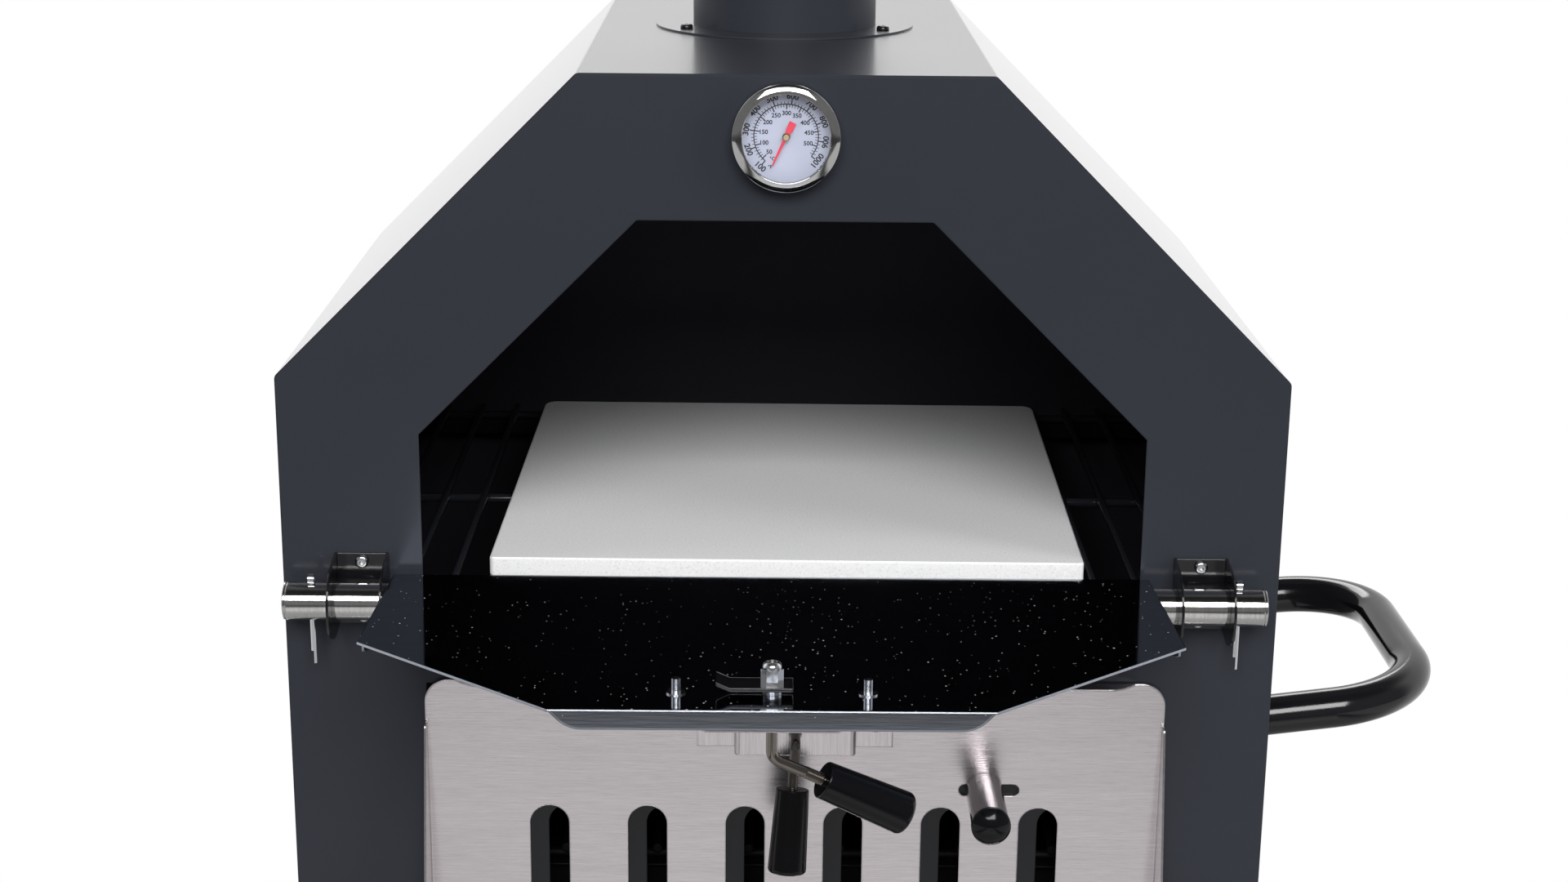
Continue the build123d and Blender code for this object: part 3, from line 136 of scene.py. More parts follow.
def tone(tree, factor, dark, light):
    """A colour between two, picked by a factor."""
    ramp = add(tree, "ShaderNodeMix", {0: factor}, data_type="RGBA")
    for socket, colour in ((ramp.inputs[6], dark), (ramp.inputs[7], light)):
        if isinstance(colour, bpy.types.NodeSocket):
            tree.links.new(colour, socket)
        else:
            socket.default_value = (*colour, 1)
    return ramp.outputs[2]


def paint(material, *names):
    """Gives a finish to nodes of the model."""
    for name in names:
        nodes[name].data.materials.clear()
        nodes[name].data.materials.append(material)
    print(material.name, "on", len(names), "nodes")

# %% [markdown]
# Powder coat is plastic dust melted onto the steel. It dries with a fine orange peel: bumps about half a
# millimetre across that blur what the paint mirrors. Handling leaves faint patches that are a little more
# or less glossy. Both go in one node group, so that each painted part can ask for its own amount.

# %% Group: orange peel and handling marks
def new_group(name, inputs, outputs):
    """A node group with named inputs, each with a start value, and named outputs."""
    group = bpy.data.node_groups.new(name, "ShaderNodeTree")
    for label, kind, value in inputs:
        socket = group.interface.new_socket(label, in_out="INPUT", socket_type="NodeSocket" + kind)
        if value is not None:
            socket.default_value = value
    for label, kind in outputs:
        group.interface.new_socket(label, in_out="OUTPUT", socket_type="NodeSocket" + kind)
    return group, group.nodes.new("NodeGroupInput"), group.nodes.new("NodeGroupOutput")


def use(tree, group, inputs):
    """Places a shared group in a material and returns its outputs."""
    return add(tree, "ShaderNodeGroup", inputs, node_tree=group).outputs


peel_group, peel_in, peel_out = new_group(
    "orange_peel", [("Vector", "Vector", None), ("Grain", "Float", 1500.0), ("Patches", "Float", 6.0)],
    [("Height", "Float"), ("Marks", "Float")])
peel_height = noise(peel_group, peel_in.outputs["Vector"], peel_in.outputs["Grain"], 1.0)
peel_marks = noise(peel_group, peel_in.outputs["Vector"], peel_in.outputs["Patches"], 5.0, 0.62)
peel_group.links.new(peel_height, peel_out.inputs["Height"])
peel_group.links.new(peel_marks, peel_out.inputs["Marks"])
print("group", peel_group.name)

# %% [markdown]
# Inside, soot has turned the walls matt and black. The same sheet is glossy outside, so the soot is a mask:
# one within the house's own outline, and nought outside it. The outline is a box with two slopes for a roof.

# %% Group: soot inside the house
rear_low, rear_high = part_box("rear_panel")
roof_low, roof_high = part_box("roof_panel")
slope_low, slope_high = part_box("left_slope")
half_sheet = 0.0004
soot_group, soot_in, soot_out = new_group("soot_inside", [("Vector", "Vector", None)], [("Mask", "Float")])
spot = add(soot_group, "ShaderNodeSeparateXYZ", {"Vector": soot_in.outputs["Vector"]}).outputs
from_middle = math(soot_group, "ABSOLUTE", math(soot_group, "SUBTRACT", spot["X"], middle))
half_wide = (panel_high.x - panel_low.x) / 2 - half_sheet
half_roof = (roof_high.x - roof_low.x) / 2
fall = (slope_high.z - slope_low.z) / (half_wide - half_roof)
past_roof = math(soot_group, "SUBTRACT", from_middle, half_roof)
ceiling = math(soot_group, "MULTIPLY_ADD", past_roof, -fall, roof_line - half_sheet * 2)
inside = math(soot_group, "LESS_THAN", from_middle, half_wide)
for operation, value, limit in (("GREATER_THAN", spot["Y"], front + half_sheet),
                                ("LESS_THAN", spot["Y"], rear_high.y - half_sheet),
                                ("LESS_THAN", spot["Z"], roof_line - half_sheet),
                                ("LESS_THAN", spot["Z"], ceiling)):
    inside = math(soot_group, "MULTIPLY", inside, math(soot_group, operation, value, limit))
soot_group.links.new(inside, soot_out.inputs["Mask"])
print("roof falls", round(fall, 3), "a metre outward")

# %% [markdown]
# Dust lies on a dark mirror as tiny pale specks, thick in some places and absent in others. A fine cell
# pattern gives one speck a cell, and a cloudy mask decides which of them show.

# %% Group: dust specks
largest_speck = 0.28
dust_group, dust_in, dust_out = new_group(
    "dust_specks", [("Vector", "Vector", None), ("Cells", "Float", 350.0), ("Amount", "Float", 0.5)],
    [("Mask", "Float")])
cells = add(dust_group, "ShaderNodeTexVoronoi", {"Vector": dust_in.outputs["Vector"],
                                                 "Scale": dust_in.outputs["Cells"]}).outputs
drift = noise(dust_group, dust_in.outputs["Vector"], 14.0, 3.0)
speck_size = math(dust_group, "MULTIPLY", cells["Color"], largest_speck)
speck = math(dust_group, "LESS_THAN", cells["Distance"], speck_size)
chance = add(dust_group, "ShaderNodeSeparateColor", {"Color": cells["Color"]}).outputs["Green"]
limit = math(dust_group, "MULTIPLY", drift, dust_in.outputs["Amount"])
kept = math(dust_group, "LESS_THAN", chance, limit)
dust_group.links.new(math(dust_group, "MULTIPLY", speck, kept), dust_out.inputs["Mask"])
print("group", dust_group.name)

# %% [markdown]
# Brushed steel is scratched one way by an abrasive belt, so its grain is noise that is squeezed across the
# strokes and drawn out along them. The material turns the pattern, and the group gives height and tone.

# %% Group: brushed grain
along_strokes = (0.045, 1.0, 1.0)
grain_group, grain_in, grain_out = new_group(
    "brushed_grain", [("Vector", "Vector", None), ("Lines", "Float", 1200.0)],
    [("Height", "Float"), ("Tone", "Float")])
squeeze = add(grain_group, "ShaderNodeVectorMath", {0: grain_in.outputs["Vector"], 1: along_strokes},
              operation="MULTIPLY").outputs["Vector"]
fine_lines = noise(grain_group, squeeze, grain_in.outputs["Lines"], 3.0, 0.7)
wide_scale = math(grain_group, "MULTIPLY", grain_in.outputs["Lines"], 0.22)
wide_lines = noise(grain_group, squeeze, wide_scale, 2.0)
fine_share = math(grain_group, "MULTIPLY", fine_lines, 0.7)
both_lines = math(grain_group, "MULTIPLY_ADD", wide_lines, 0.3, fine_share)
grain_group.links.new(fine_lines, grain_out.inputs["Height"])
grain_group.links.new(both_lines, grain_out.inputs["Tone"])
print("group", grain_group.name)

# %% [markdown]
# Relief comes last in each finish. A bump node turns the height of a pattern into relief, and a bevel node
# ahead of it rounds the normals at a fold, since folded sheet never has a razor's edge.

# %% Relief and soft folds
fine_relief = 0.00006
fold_radius = 0.0012


def bump(tree, shader, height, strength, distance, fold=0.0):
    """Turns a height into bumps of the surface and, if asked for, softens its folds to a radius."""
    made = add(tree, "ShaderNodeBump", {"Height": height, "Strength": strength, "Distance": distance})
    if fold:
        soft = add(tree, "ShaderNodeBevel", {"Radius": fold}, samples=6)
        tree.links.new(soft.outputs["Normal"], made.inputs["Normal"])
    tree.links.new(made.outputs["Normal"], shader.inputs["Normal"])


print("folds are soft over", fold_radius, "m")

# %% [markdown]
# The body is a satin charcoal grey, nearly black but for a cold tint. Seen flat on it looks dull, and
# along the slopes it turns into a bright mirror, as any clear film does at a low angle. The film is
# smoothest on the slopes, and thin on the front and the chimney. The inside has none, for it is sooty.

# %% Painted finishes
soot_colour = (0.033, 0.032, 0.040)


def powder_coat(name, dark, light, rough, patches=0.05, skin=None, film=1.0, specular=0.5):
    """A baked paint with orange peel. Skin is how rough its clear film is, and film is how much it has."""
    material, tree, shader = new_material(name)
    where = place_on(tree)
    peel = use(tree, peel_group, {"Vector": where})
    colour = tone(tree, peel["Marks"], dark, light)
    shader.inputs["Specular IOR Level"].default_value = specular
    if skin:
        soot = use(tree, soot_group, {"Vector": where})["Mask"]
        colour = tone(tree, soot, colour, soot_colour)
        shader.inputs["Coat Roughness"].default_value = skin
        tree.links.new(math(tree, "MULTIPLY_ADD", soot, -film, film), shader.inputs["Coat Weight"])
    tree.links.new(colour, shader.inputs["Base Color"])
    tree.links.new(spread(tree, peel["Marks"], 0.25, 0.75, rough - patches, rough + patches),
                   shader.inputs["Roughness"])
    bump(tree, shader, peel["Height"], 0.25, fine_relief, fold_radius)
    return material


def charcoal_coat(name, skin, film=1.0, dark=(0.0250, 0.0275, 0.0355), light=(0.0305, 0.0330, 0.0422)):
    """The body's own paint, which mirrors through its clear film alone."""
    return powder_coat(name, dark, light, 0.4, 0.04, skin, film, specular=0.03)


charcoal = charcoal_coat("charcoal_powder_coat", 0.20)
charcoal_pipe = charcoal_coat("charcoal_powder_coat_pipe", 0.30, 0.25)
charcoal_slope = charcoal_coat("charcoal_powder_coat_slope", 0.04)
# The front panel has the body's paint a few percent lighter: painted light that brightens the front beyond
# what the lamps give it.
charcoal_front_painted_light = charcoal_coat("charcoal_powder_coat_front_painted_light", 0.20, 0.25,
                               (0.0262, 0.0289, 0.0373), (0.0320, 0.0347, 0.0443))
# The damper plate is dark paint, made darker still as painted shade for the shadow that the fire door casts
# on it.
damper_painted_shade = powder_coat("damper_powder_coat_painted_shade", (0.0035, 0.0042, 0.0058), (0.005, 0.0058, 0.0078),
                           0.42, 0.04)
rod_black = powder_coat("enamelled_rod", (0.014, 0.015, 0.019), (0.020, 0.021, 0.026), 0.08, 0.02)
inside_black = powder_coat("inside_black", (0.003, 0.003, 0.004), (0.005, 0.005, 0.006), 0.55, 0.05,
                           specular=0.15)
gloss_black = powder_coat("gloss_black", (0.005, 0.005, 0.006), (0.008, 0.008, 0.010), 0.10, 0.03)

paint(charcoal_slope, "left_slope", "right_slope")
paint(charcoal_pipe, "chimney_pipe")
paint(charcoal_front_painted_light, "front_panel")
paint(charcoal, "left_wall", "right_wall", "roof_panel", "rear_panel", "floor_panel", "chimney_flange",
      "rain_cap", "left_legs", "right_legs", "lower_shelf")
paint(damper_painted_shade, "damper_plate")
paint(inside_black, "side_grid_rails", "rear_grid_rail", "ash_pan", "charcoal_grate")
paint(rod_black, "cooking_grid")
paint(gloss_black, "hinge_brackets", "side_handle", "chimney_screws", "oven_latch_tongue",
      "fire_latch_tongue")

# %% [markdown]
# Both doors, their latch brackets and the damper's knob are stainless steel. The fire door is brushed from
# side to side, the brackets from top to bottom, and the round knob along its length. The mapping turns the
# same grain group for each. The oven door's inner face is nearly a mirror: it looks black because it
# mirrors the dark oven, and only dust shows on it, since dust is matt and catches light from everywhere.

# %% Brushed stainless steel
dust_grey = (0.56, 0.56, 0.57)
grain_across, grain_upright, grain_outward = (0, 0, 0), (0, radians(90), 0), (0, 0, radians(90))


def brushed(name, tilt, rough=0.20, colour=(0.69, 0.645, 0.66), lines=1300.0, depth=0.8, dust=0.0):
    """Stainless steel with grain along X, turned by tilt and, if asked for, dusty."""
    material, tree, shader = new_material(name)
    where = place_on(tree, tilt)
    grain = use(tree, grain_group, {"Vector": where, "Lines": lines})
    marks = use(tree, peel_group, {"Vector": where, "Patches": 5.0})["Marks"]
    dark = tuple(c * 0.62 for c in colour)
    light = tuple(min(1.0, c * 1.30) for c in colour)
    steel = tone(tree, grain["Tone"], dark, light)
    blur = math(tree, "ADD", spread(tree, grain["Tone"], 0.3, 0.7, rough * 0.8, rough * 1.2),
                spread(tree, marks, 0.3, 0.7, -rough / 8, rough / 8))
    shader.inputs["Metallic"].default_value = 1.0
    if dust:
        specks = use(tree, dust_group, {"Vector": place_on(tree), "Amount": dust})["Mask"]
        steel = tone(tree, specks, steel, dust_grey)
        tree.links.new(math(tree, "SUBTRACT", 1.0, specks), shader.inputs["Metallic"])
        blur = math(tree, "MAXIMUM", blur, specks)
    tree.links.new(steel, shader.inputs["Base Color"])
    tree.links.new(blur, shader.inputs["Roughness"])
    bump(tree, shader, grain["Height"], depth, fine_relief, fold_radius)
    return material


door_steel = brushed("stainless_brushed_across", grain_across)
mirror_steel = brushed("stainless_mirror_dusty", grain_across, rough=0.07, colour=(0.36, 0.385, 0.44),
                       lines=900.0, depth=0.12, dust=0.9)
bracket_steel = brushed("stainless_brushed_upright", grain_upright)
knob_steel = brushed("stainless_brushed_outward", grain_outward, rough=0.15, colour=(0.58, 0.55, 0.56),
                     lines=800.0, depth=0.2)
tube_steel = brushed("stainless_polished_tube", grain_upright, rough=0.09, colour=(0.66, 0.65, 0.64),
                     lines=900.0, depth=0.05)
paint(door_steel, "fire_door_leaf", "damper_guides", "wheel_axle")
paint(mirror_steel, "oven_door_leaf")
paint(bracket_steel, "oven_latch_bracket", "fire_latch_bracket")
paint(knob_steel, "damper_knob")
paint(tube_steel, "hinge_tubes", "hinge_tube_caps")

# %% [markdown]
# Screws, nuts and split pins have a bright zinc plate, a touch blue and dull, with cloudy patches. The
# thermometer's rim is polished chrome, and the bent latch rods have a dark, warm nickel plate.

# %% Plated finishes
def plated(name, dark, light, rough, cloud=0.05, scale=300.0):
    """A bright metal plate whose gloss varies softly."""
    material, tree, shader = new_material(name)
    marks = use(tree, peel_group, {"Vector": place_on(tree), "Patches": scale})["Marks"]
    tree.links.new(tone(tree, marks, dark, light), shader.inputs["Base Color"])
    shader.inputs["Metallic"].default_value = 1.0
    tree.links.new(spread(tree, marks, 0.3, 0.7, rough - cloud, rough + cloud), shader.inputs["Roughness"])
    return material


zinc = plated("bright_zinc", (0.60, 0.62, 0.65), (0.74, 0.75, 0.77), 0.20, 0.08)
chrome = plated("polished_chrome", (0.50, 0.50, 0.51), (0.64, 0.63, 0.62), 0.06, 0.03, 160.0)
nickel = plated("nickel_rod", (0.17, 0.152, 0.135), (0.25, 0.225, 0.20), 0.09, 0.03)
paint(zinc, "bracket_screws", "bracket_nuts", "hinge_pins", "oven_door_fixings", "fire_door_fixings",
      "oven_latch_nuts", "fire_latch_nuts", "thermometer_nut", "thermometer_stem", "leg_bolts",
      "handle_bolts")
paint(chrome, "thermometer_case")
paint(nickel, "oven_latch_lever", "fire_latch_lever")

# %% [markdown]
# The stone is cast cordierite: a pale neutral grey, matt and slightly rough, with fine darker and lighter
# grains in it.

# %% The pizza stone
stone_relief = 0.00012
stone, stone_tree, stone_shader = new_material("cordierite_stone")
stone_where = place_on(stone_tree)
stone_cloud = noise(stone_tree, stone_where, 9.0, 4.0, 0.55)
stone_grain = noise(stone_tree, stone_where, 900.0, 2.0, 0.6)
stone_colour = tone(stone_tree, stone_cloud, (0.775, 0.775, 0.78), (0.815, 0.815, 0.815))
for most, least, share, grain_colour in ((0.58, 0.68, 0.35, (0.45, 0.45, 0.44)),
                                         (0.42, 0.32, 0.5, (0.95, 0.945, 0.94))):
    amount = math(stone_tree, "MULTIPLY", spread(stone_tree, stone_grain, most, least), share)
    stone_colour = tone(stone_tree, amount, stone_colour, grain_colour)
stone_tree.links.new(stone_colour, stone_shader.inputs["Base Color"])
stone_shader.inputs["Roughness"].default_value = 0.78
bump(stone_tree, stone_shader, stone_grain, 0.35, stone_relief)
paint(stone, "pizza_stone")

# %% [markdown]
# The grips, the knob's cap, the wheels and the feet are moulded plastic, black with a satin skin.

# %% Black plastics
moulded_relief = 0.00004


def moulded(name, colour, rough, depth=0.2):
    """Plastic with a fine moulded texture."""
    material, tree, shader = new_material(name)
    peel = use(tree, peel_group, {"Vector": place_on(tree), "Grain": 2400.0, "Patches": 40.0})
    light = tuple(c * 1.4 for c in colour)
    shader.inputs["Specular IOR Level"].default_value = 0.28
    tree.links.new(tone(tree, peel["Marks"], colour, light), shader.inputs["Base Color"])
    tree.links.new(spread(tree, peel["Marks"], 0.3, 0.7, rough - 0.05, rough + 0.05),
                   shader.inputs["Roughness"])
    bump(tree, shader, peel["Height"], depth, moulded_relief)
    return material


grip_plastic = moulded("grip_plastic", (0.0016, 0.0016, 0.0024), 0.16, depth=0.1)
cap_plastic = moulded("cap_plastic", (0.003, 0.003, 0.004), 0.16, depth=0.05)
wheel_plastic = moulded("wheel_plastic", (0.010, 0.010, 0.011), 0.48)
paint(grip_plastic, "oven_latch_grip", "fire_latch_grip")
paint(cap_plastic, "damper_knob_cap")
paint(wheel_plastic, "front_wheel", "rear_wheel", "axle_caps", "leg_feet")

# %% [markdown]
# The thermometer has a cold white face, coloured a darker blue-grey as painted shade for the shadow of its
# rim, a red pointer on a brass hub and a clear glass. The glass is thin, so it bends almost nothing: it only
# adds a soft reflection.

# %% Dial, pointer, hub and glass
def plain(name, dark, light, rough, metallic=0.0):
    """A small plain part whose colour still varies a little."""
    material, tree, shader = new_material(name)
    marks = use(tree, peel_group, {"Vector": place_on(tree), "Patches": 120.0})["Marks"]
    tree.links.new(tone(tree, marks, dark, light), shader.inputs["Base Color"])
    tree.links.new(spread(tree, marks, 0.3, 0.7, rough - 0.04, rough + 0.04), shader.inputs["Roughness"])
    shader.inputs["Metallic"].default_value = metallic
    return material


# The face is white enamel, given a darker grey here as painted shade for the shadow of its rim.
dial_white_painted_shade = plain("dial_enamel_painted_shade", (0.345, 0.36, 0.445), (0.375, 0.39, 0.475), 0.5)
needle_red = plain("pointer_red", (0.52, 0.034, 0.060), (0.58, 0.042, 0.072), 0.45)
hub_brass = plain("hub_brass", (0.62, 0.48, 0.30), (0.70, 0.55, 0.34), 0.25, 1.0)
print_black = plain("dial_print", (0.004, 0.004, 0.006), (0.008, 0.008, 0.010), 0.6)
glass, glass_tree, glass_shader = new_material("dial_glass")
glass_shader.inputs["Base Color"].default_value = (0.98, 0.99, 1.0, 1)
glass_shader.inputs["Roughness"].default_value = 0.02
glass_shader.inputs["Transmission Weight"].default_value = 1.0
glass_shader.inputs["IOR"].default_value = 1.03
paint(dial_white_painted_shade, "thermometer_dial")
paint(needle_red, "thermometer_needle")
paint(hub_brass, "thermometer_hub")
paint(glass, "thermometer_lens")

# %% [markdown]
# The dial's print is real ink on the face, so it is made as flat shapes a hair in front of it: one ring,
# ticks outside it for degrees Fahrenheit and inside it for Celsius, and the numbers. Text becomes a mesh
# before it is placed, and all of it is joined into one piece.

# %% The dial's print
ink_lift = 0.00008
rim_radius = 0.026
ring_radius = 0.593 * rim_radius
half_ring_line = 0.00024
long_tick_width, short_tick_width = 0.00056, 0.00030
outer_digits, inner_digits, unit_letters = 0.0028, 0.0021, 0.0017
scale_starts, scale_turns = 220, 268
lowest, highest = 100, 1000
dial_low, dial_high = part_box("thermometer_dial")
dial_centre = Vector(((dial_low.x + dial_high.x) / 2, dial_low.y - ink_lift, (dial_low.z + dial_high.z) / 2))
ink = bmesh.new()


def from_celsius(degrees):
    """The same temperature in Fahrenheit."""
    return degrees * 1.8 + 32


def dial_angle(fahrenheit):
    """Clockwise turn from the top, in radians, for a temperature."""
    return radians(scale_starts + (fahrenheit - lowest) * scale_turns / (highest - lowest))


def on_dial(turn_by, radius):
    """The matrix that carries a flat drawing from the XY plane to its place on the dial."""
    return (Matrix.Translation(dial_centre) @ Matrix.Rotation(turn_by, 4, "Y")
            @ Matrix.Translation((0, 0, radius)) @ Matrix.Rotation(radians(90), 4, "X"))


def add_tick(turn_by, length, width):
    """A short straight line from the ring, outward, or inward if its length is below nought."""
    corners = bmesh.ops.create_grid(ink, x_segments=1, y_segments=1, size=0.5)["verts"]
    size = Matrix.Diagonal((width, abs(length), 1, 1))
    bmesh.ops.transform(ink, matrix=on_dial(turn_by, ring_radius + length / 2) @ size, verts=corners)


def add_ticks(degrees, long_every, long_length, short_length, to_fahrenheit=float):
    """All the ticks of one scale."""
    for number in degrees:
        if number % long_every == 0:
            add_tick(dial_angle(to_fahrenheit(number)), long_length, long_tick_width)
        else:
            add_tick(dial_angle(to_fahrenheit(number)), short_length, short_tick_width)


def add_text(words, turn_by, radius, height, spin):
    """Numbers at a place on the dial, spun about their own middle."""
    curve = bpy.data.curves.new("words", "FONT")
    curve.body, curve.size, curve.resolution_u = words, height * 1.4, 3
    curve.offset = height * 0.035
    curve.align_x, curve.align_y = "CENTER", "CENTER"
    holder = bpy.data.objects.new("words", curve)
    flat = bpy.data.meshes.new_from_object(holder)
    flat.transform(on_dial(turn_by, radius) @ Matrix.Rotation(spin, 4, "Z"))
    ink.from_mesh(flat)
    bpy.data.objects.remove(holder)
    bpy.data.meshes.remove(flat)


def finish_piece(name, drawing, material):
    """Turns a drawing into an object of the scene, with a finish."""
    mesh = bpy.data.meshes.new(name)
    drawing.to_mesh(mesh)
    drawing.free()
    mesh.materials.append(material)
    return put(name, mesh)


add_ticks(range(lowest, highest + 1, 20), 100, 0.0022, 0.0013)
add_ticks(range(50, 531, 10), 50, -0.0025, -0.0015, from_celsius)
for number in range(lowest, highest + 1, 100):
    faces_inward = number in (100, 200, 900, 1000)
    add_text(str(number), dial_angle(number), 0.735 * rim_radius, outer_digits, pi if faces_inward else 0.0)
for number in range(50, 501, 50):
    angle = dial_angle(from_celsius(number))
    add_text(str(number), angle, 0.425 * rim_radius, inner_digits, angle)
for words, degrees, share in (("°F", 207, 0.64), ("°C", 211, 0.487)):
    add_text(words, radians(degrees), share * rim_radius, unit_letters, radians(degrees))

ring_start, ring_end = dial_angle(lowest), dial_angle(highest)
inner = ink.verts.new(on_dial(ring_start, ring_radius - half_ring_line).translation)
outer = ink.verts.new(on_dial(ring_start, ring_radius + half_ring_line).translation)
line = ink.edges.new((inner, outer))
bmesh.ops.spin(ink, geom=[inner, outer, line], cent=dial_centre, axis=(0, 1, 0),
               angle=ring_end - ring_start, steps=90)
dial_print = finish_piece("dial_print", ink, print_black)
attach(dial_print, "oven")
print("dial print has", len(dial_print.data.polygons), "faces")

# %% [markdown]
# Each latch rod is threaded where its grip screws on, and a few turns of thread show. One ridge is drawn
# beside the rod and spun about the rod's axis, with a small step along it each time, which makes a helix.
# The axis is measured from the grip: it is the line along which the grip's points lie farthest apart.

# %% Threads on the latch rods
rod_radius = 0.0025
thread_pitch = 0.0010
thread_turns = 9
thread_depth = 0.00028
thread_sunk = 0.0001
half_ridge = 0.4 * thread_pitch
steps_per_turn = 20


def long_axis(grip, lever):
    """The place where a grip starts on its rod, and the direction from there to its free end."""
    points = [v.co for v in nodes[grip].data.vertices]
    centre = sum(points, Vector()) / len(points)
    axis = Vector((0.5, 0.3, -0.7))  # a rough guess, which each round below improves
    for _ in range(30):
        axis = sum(((p - centre) * (p - centre).dot(axis) for p in points), Vector()).normalized()
    rod_points = [v.co for v in nodes[lever].data.vertices]
    if (sum(rod_points, Vector()) / len(rod_points) - centre).dot(axis) > 0:
        axis = -axis
    return centre + axis * min((p - centre).dot(axis) for p in points), axis


def wind_thread(name, grip, lever, body):
    """A helix of thread on the rod, up to the grip."""
    grip_start, axis = long_axis(grip, lever)
    outward = axis.orthogonal().normalized()
    first = grip_start - axis * thread_pitch * thread_turns
    foot = rod_radius - thread_sunk
    coil = bmesh.new()
    corners = [coil.verts.new(first + outward * radius + axis * along)
               for radius, along in ((foot, -half_ridge), (rod_radius + thread_depth, 0.0),
                                     (foot, half_ridge))]
    ridge = [coil.edges.new((corners[k], corners[(k + 1) % 3])) for k in range(3)]
    bmesh.ops.spin(coil, geom=corners + ridge, cent=grip_start, axis=axis,
                   dvec=axis * thread_pitch / steps_per_turn, angle=2 * pi * thread_turns,
                   steps=thread_turns * steps_per_turn)
    bmesh.ops.holes_fill(coil, edges=[e for e in coil.edges if e.is_boundary], sides=3)
    bmesh.ops.recalc_face_normals(coil, faces=coil.faces)
    thread = finish_piece(name, coil, nickel)
    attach(thread, body)
    print(name, len(thread.data.polygons), "faces, from", tuple(round(c, 4) for c in first))


wind_thread("oven_latch_thread", "oven_latch_grip", "oven_latch_lever", "oven_latch")
wind_thread("fire_latch_thread", "fire_latch_grip", "fire_latch_lever", "fire_latch")

# %% [markdown]
# The studio is white to the camera, but steel shows what it mirrors, so mirrors see a room with more shape.
# About a metre away the floor starts to glow for them: bright straight ahead of the oven, dark in a band on
# each side of that, half bright beyond, and dark again far in front. Near the oven it is plain and holds the
# shadow. It throws back less light than it shows the camera, or its bounce would wash out the steel.

# %% Floor
floor_radius, floor_drop = 6.0, 0.0005
bounce_grey, camera_grey = (0.42, 0.42, 0.42), (0.82, 0.82, 0.82)
floor_material, floor_tree, floor_shader = new_material("studio_floor")
floor_shader.inputs["Roughness"].default_value = 0.7
floor_shader.inputs["Specular IOR Level"].default_value = 0.2
floor_place = place_on(floor_tree)
floor_at = add(floor_tree, "ShaderNodeSeparateXYZ", {"Vector": floor_place}).outputs
path = add(floor_tree, "ShaderNodeLightPath").outputs
floor_tree.links.new(tone(floor_tree, path["Is Camera Ray"], bounce_grey, camera_grey),
                     floor_shader.inputs["Base Color"])
aside = math(floor_tree, "ABSOLUTE", floor_at["X"])
ahead_card = spread(floor_tree, aside, 0.6, 0.9, 1.0, 0.09)
side_card = spread(floor_tree, aside, 1.0, 1.35, 0.0, 0.62)
behind_oven = spread(floor_tree, floor_at["Y"], -0.6, 0.3)
cards = math(floor_tree, "MAXIMUM", math(floor_tree, "MAXIMUM", ahead_card, side_card), behind_oven)
toward_back = spread(floor_tree, floor_at["Y"], -0.6, 0.6, 0.72, 1.0)
far_front = spread(floor_tree, floor_at["Y"], -4.4, -3.2, 0.12, 1.0)
front_floor = math(floor_tree, "MINIMUM", math(floor_tree, "MINIMUM", toward_back, far_front), cards)
floor_glow = math(floor_tree, "MAXIMUM", front_floor, path["Is Camera Ray"])
white = add(floor_tree, "ShaderNodeEmission", {"Color": (1, 1, 1, 1), "Strength": floor_glow})
seen = math(floor_tree, "MAXIMUM", path["Is Camera Ray"],
            math(floor_tree, "MAXIMUM", path["Is Glossy Ray"], path["Is Transmission Ray"]))
away = add(floor_tree, "ShaderNodeVectorMath", {0: floor_place}, operation="LENGTH").outputs["Value"]
far = spread(floor_tree, away, 0.75, 1.5, curve="SMOOTHSTEP")
mixed = add(floor_tree, "ShaderNodeMixShader", {0: math(floor_tree, "MULTIPLY", seen, far),
                                                1: floor_shader.outputs[0], 2: white.outputs[0]})
floor_tree.links.new(mixed.outputs[0], floor_tree.nodes["Material Output"].inputs["Surface"])
disc = bmesh.new()
bmesh.ops.create_circle(disc, cap_ends=True, segments=96, radius=floor_radius)
bmesh.ops.translate(disc, verts=disc.verts, vec=(0, 0, -floor_drop))
finish_piece("studio_floor", disc, floor_material)
print("floor laid")

# %% [markdown]
# The world is white behind the oven and dim in front of it, where a real room holds the photographer, and
# dim overhead too. That dark is what gives chrome its contrast. As a light it is weak, because four soft
# lamps do the work. The two at the sides are kept out of mirrors, or their glare would hide the open door.

# %% World and lamps
world = bpy.data.worlds.new("studio")
bpy.context.scene.world = world
world.use_nodes = True
sky = world.node_tree
sky.nodes.clear()


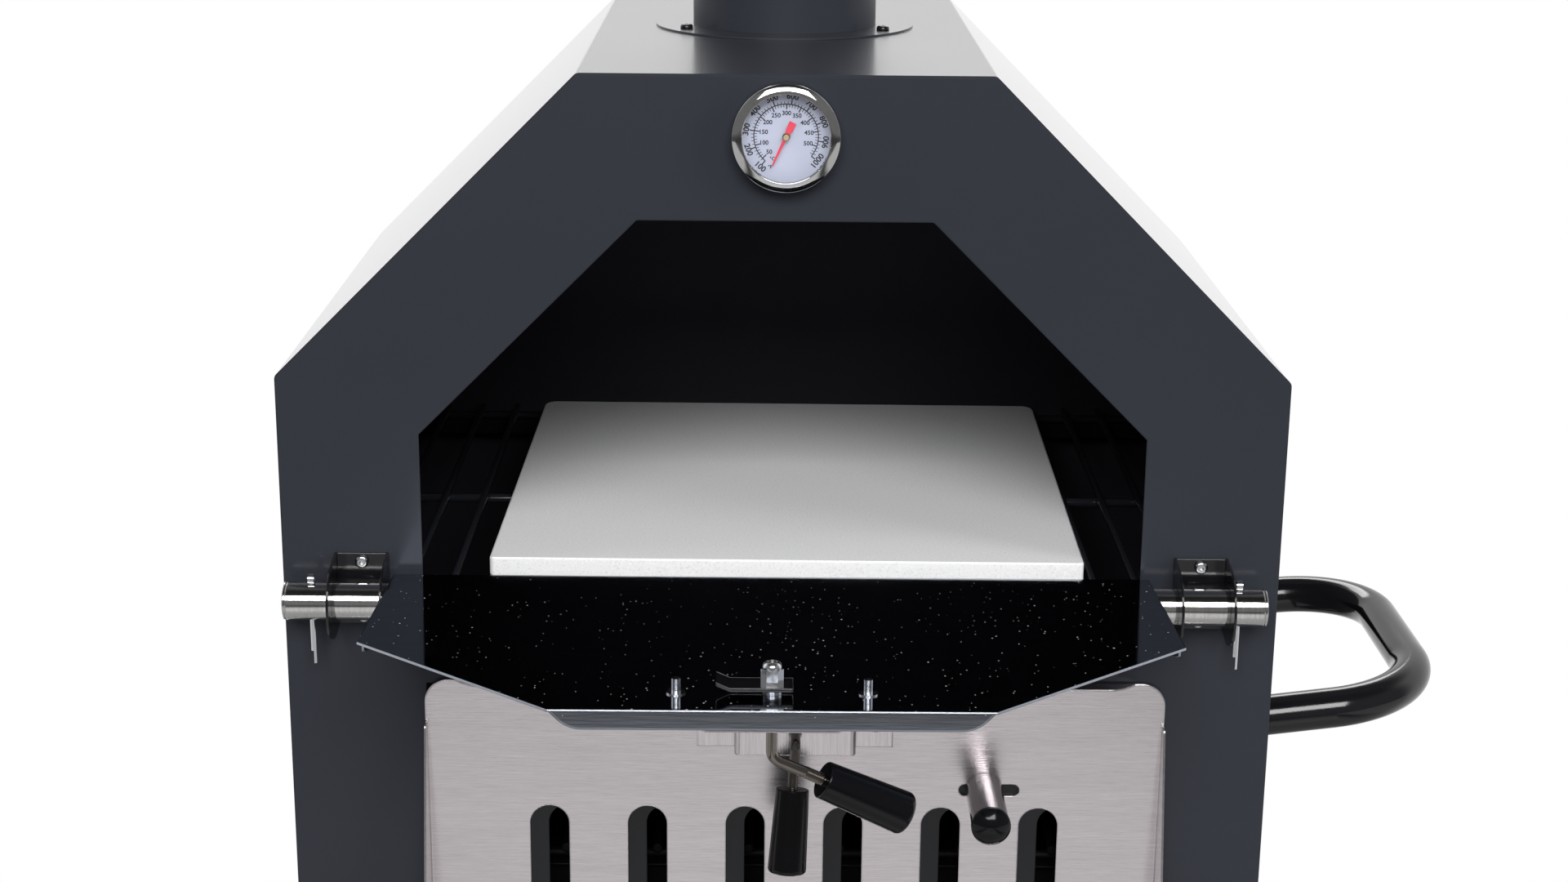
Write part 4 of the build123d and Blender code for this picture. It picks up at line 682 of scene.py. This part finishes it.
def background(strength, colour=(1, 1, 1, 1)):
    """One plain light of the world."""
    return add(sky, "ShaderNodeBackground", {"Color": colour, "Strength": strength}).outputs[0]


rays = add(sky, "ShaderNodeLightPath").outputs
direction = add(sky, "ShaderNodeTexCoord").outputs["Generated"]
toward = add(sky, "ShaderNodeSeparateXYZ", {"Vector": direction}).outputs
in_front = spread(sky, toward["Z"], -0.15, -0.09, 0.06, 0.20)
behind = spread(sky, toward["Y"], -0.2, 0.2, in_front, 1.0, "SMOOTHSTEP")
overhead = spread(sky, toward["Z"], 0.55, 0.85, 1.0, 0.1, "SMOOTHSTEP")
mirrored_room = background(math(sky, "MULTIPLY", behind, overhead))
soft_light = background(0.15, (0.96, 0.98, 1.0, 1))
lit_or_mirrored = add(sky, "ShaderNodeMixShader", {0: rays["Is Glossy Ray"], 1: soft_light,
                                                   2: mirrored_room}).outputs[0]
seen_white = math(sky, "MAXIMUM", rays["Is Camera Ray"], rays["Is Transmission Ray"])
whole_sky = add(sky, "ShaderNodeMixShader", {0: seen_white, 1: lit_or_mirrored, 2: background(1.0)})
add(sky, "ShaderNodeOutputWorld", {"Surface": whole_sky.outputs[0]})


oven_middle = Vector((middle, front + 0.15, 1.0))


def softbox(name, at, width, height, power, mirrored=True):
    """A soft lamp that looks at the oven, and may be kept out of mirrors."""
    data = bpy.data.lights.new(name, "AREA")
    data.shape, data.size, data.size_y, data.energy = "RECTANGLE", width, height, power
    lamp = put(name, data)
    lamp.visible_glossy = mirrored
    lamp.location = at
    lamp.rotation_mode = "QUATERNION"
    lamp.rotation_quaternion = (oven_middle - Vector(at)).to_track_quat("-Z", "Y")


softbox("front_softbox", (0.0, -2.45, 2.75), 2.2, 1.2, 92)
softbox("left_softbox", (-2.7, -0.4, 1.9), 0.8, 1.6, 18, mirrored=False)
softbox("right_softbox", (2.6, -1.3, 2.0), 0.8, 1.6, 32, mirrored=False)
softbox("back_softbox", (0.0, 2.4, 2.6), 1.8, 0.8, 24)
bpy.context.scene.view_settings.view_transform = "Standard"
print("studio lit")
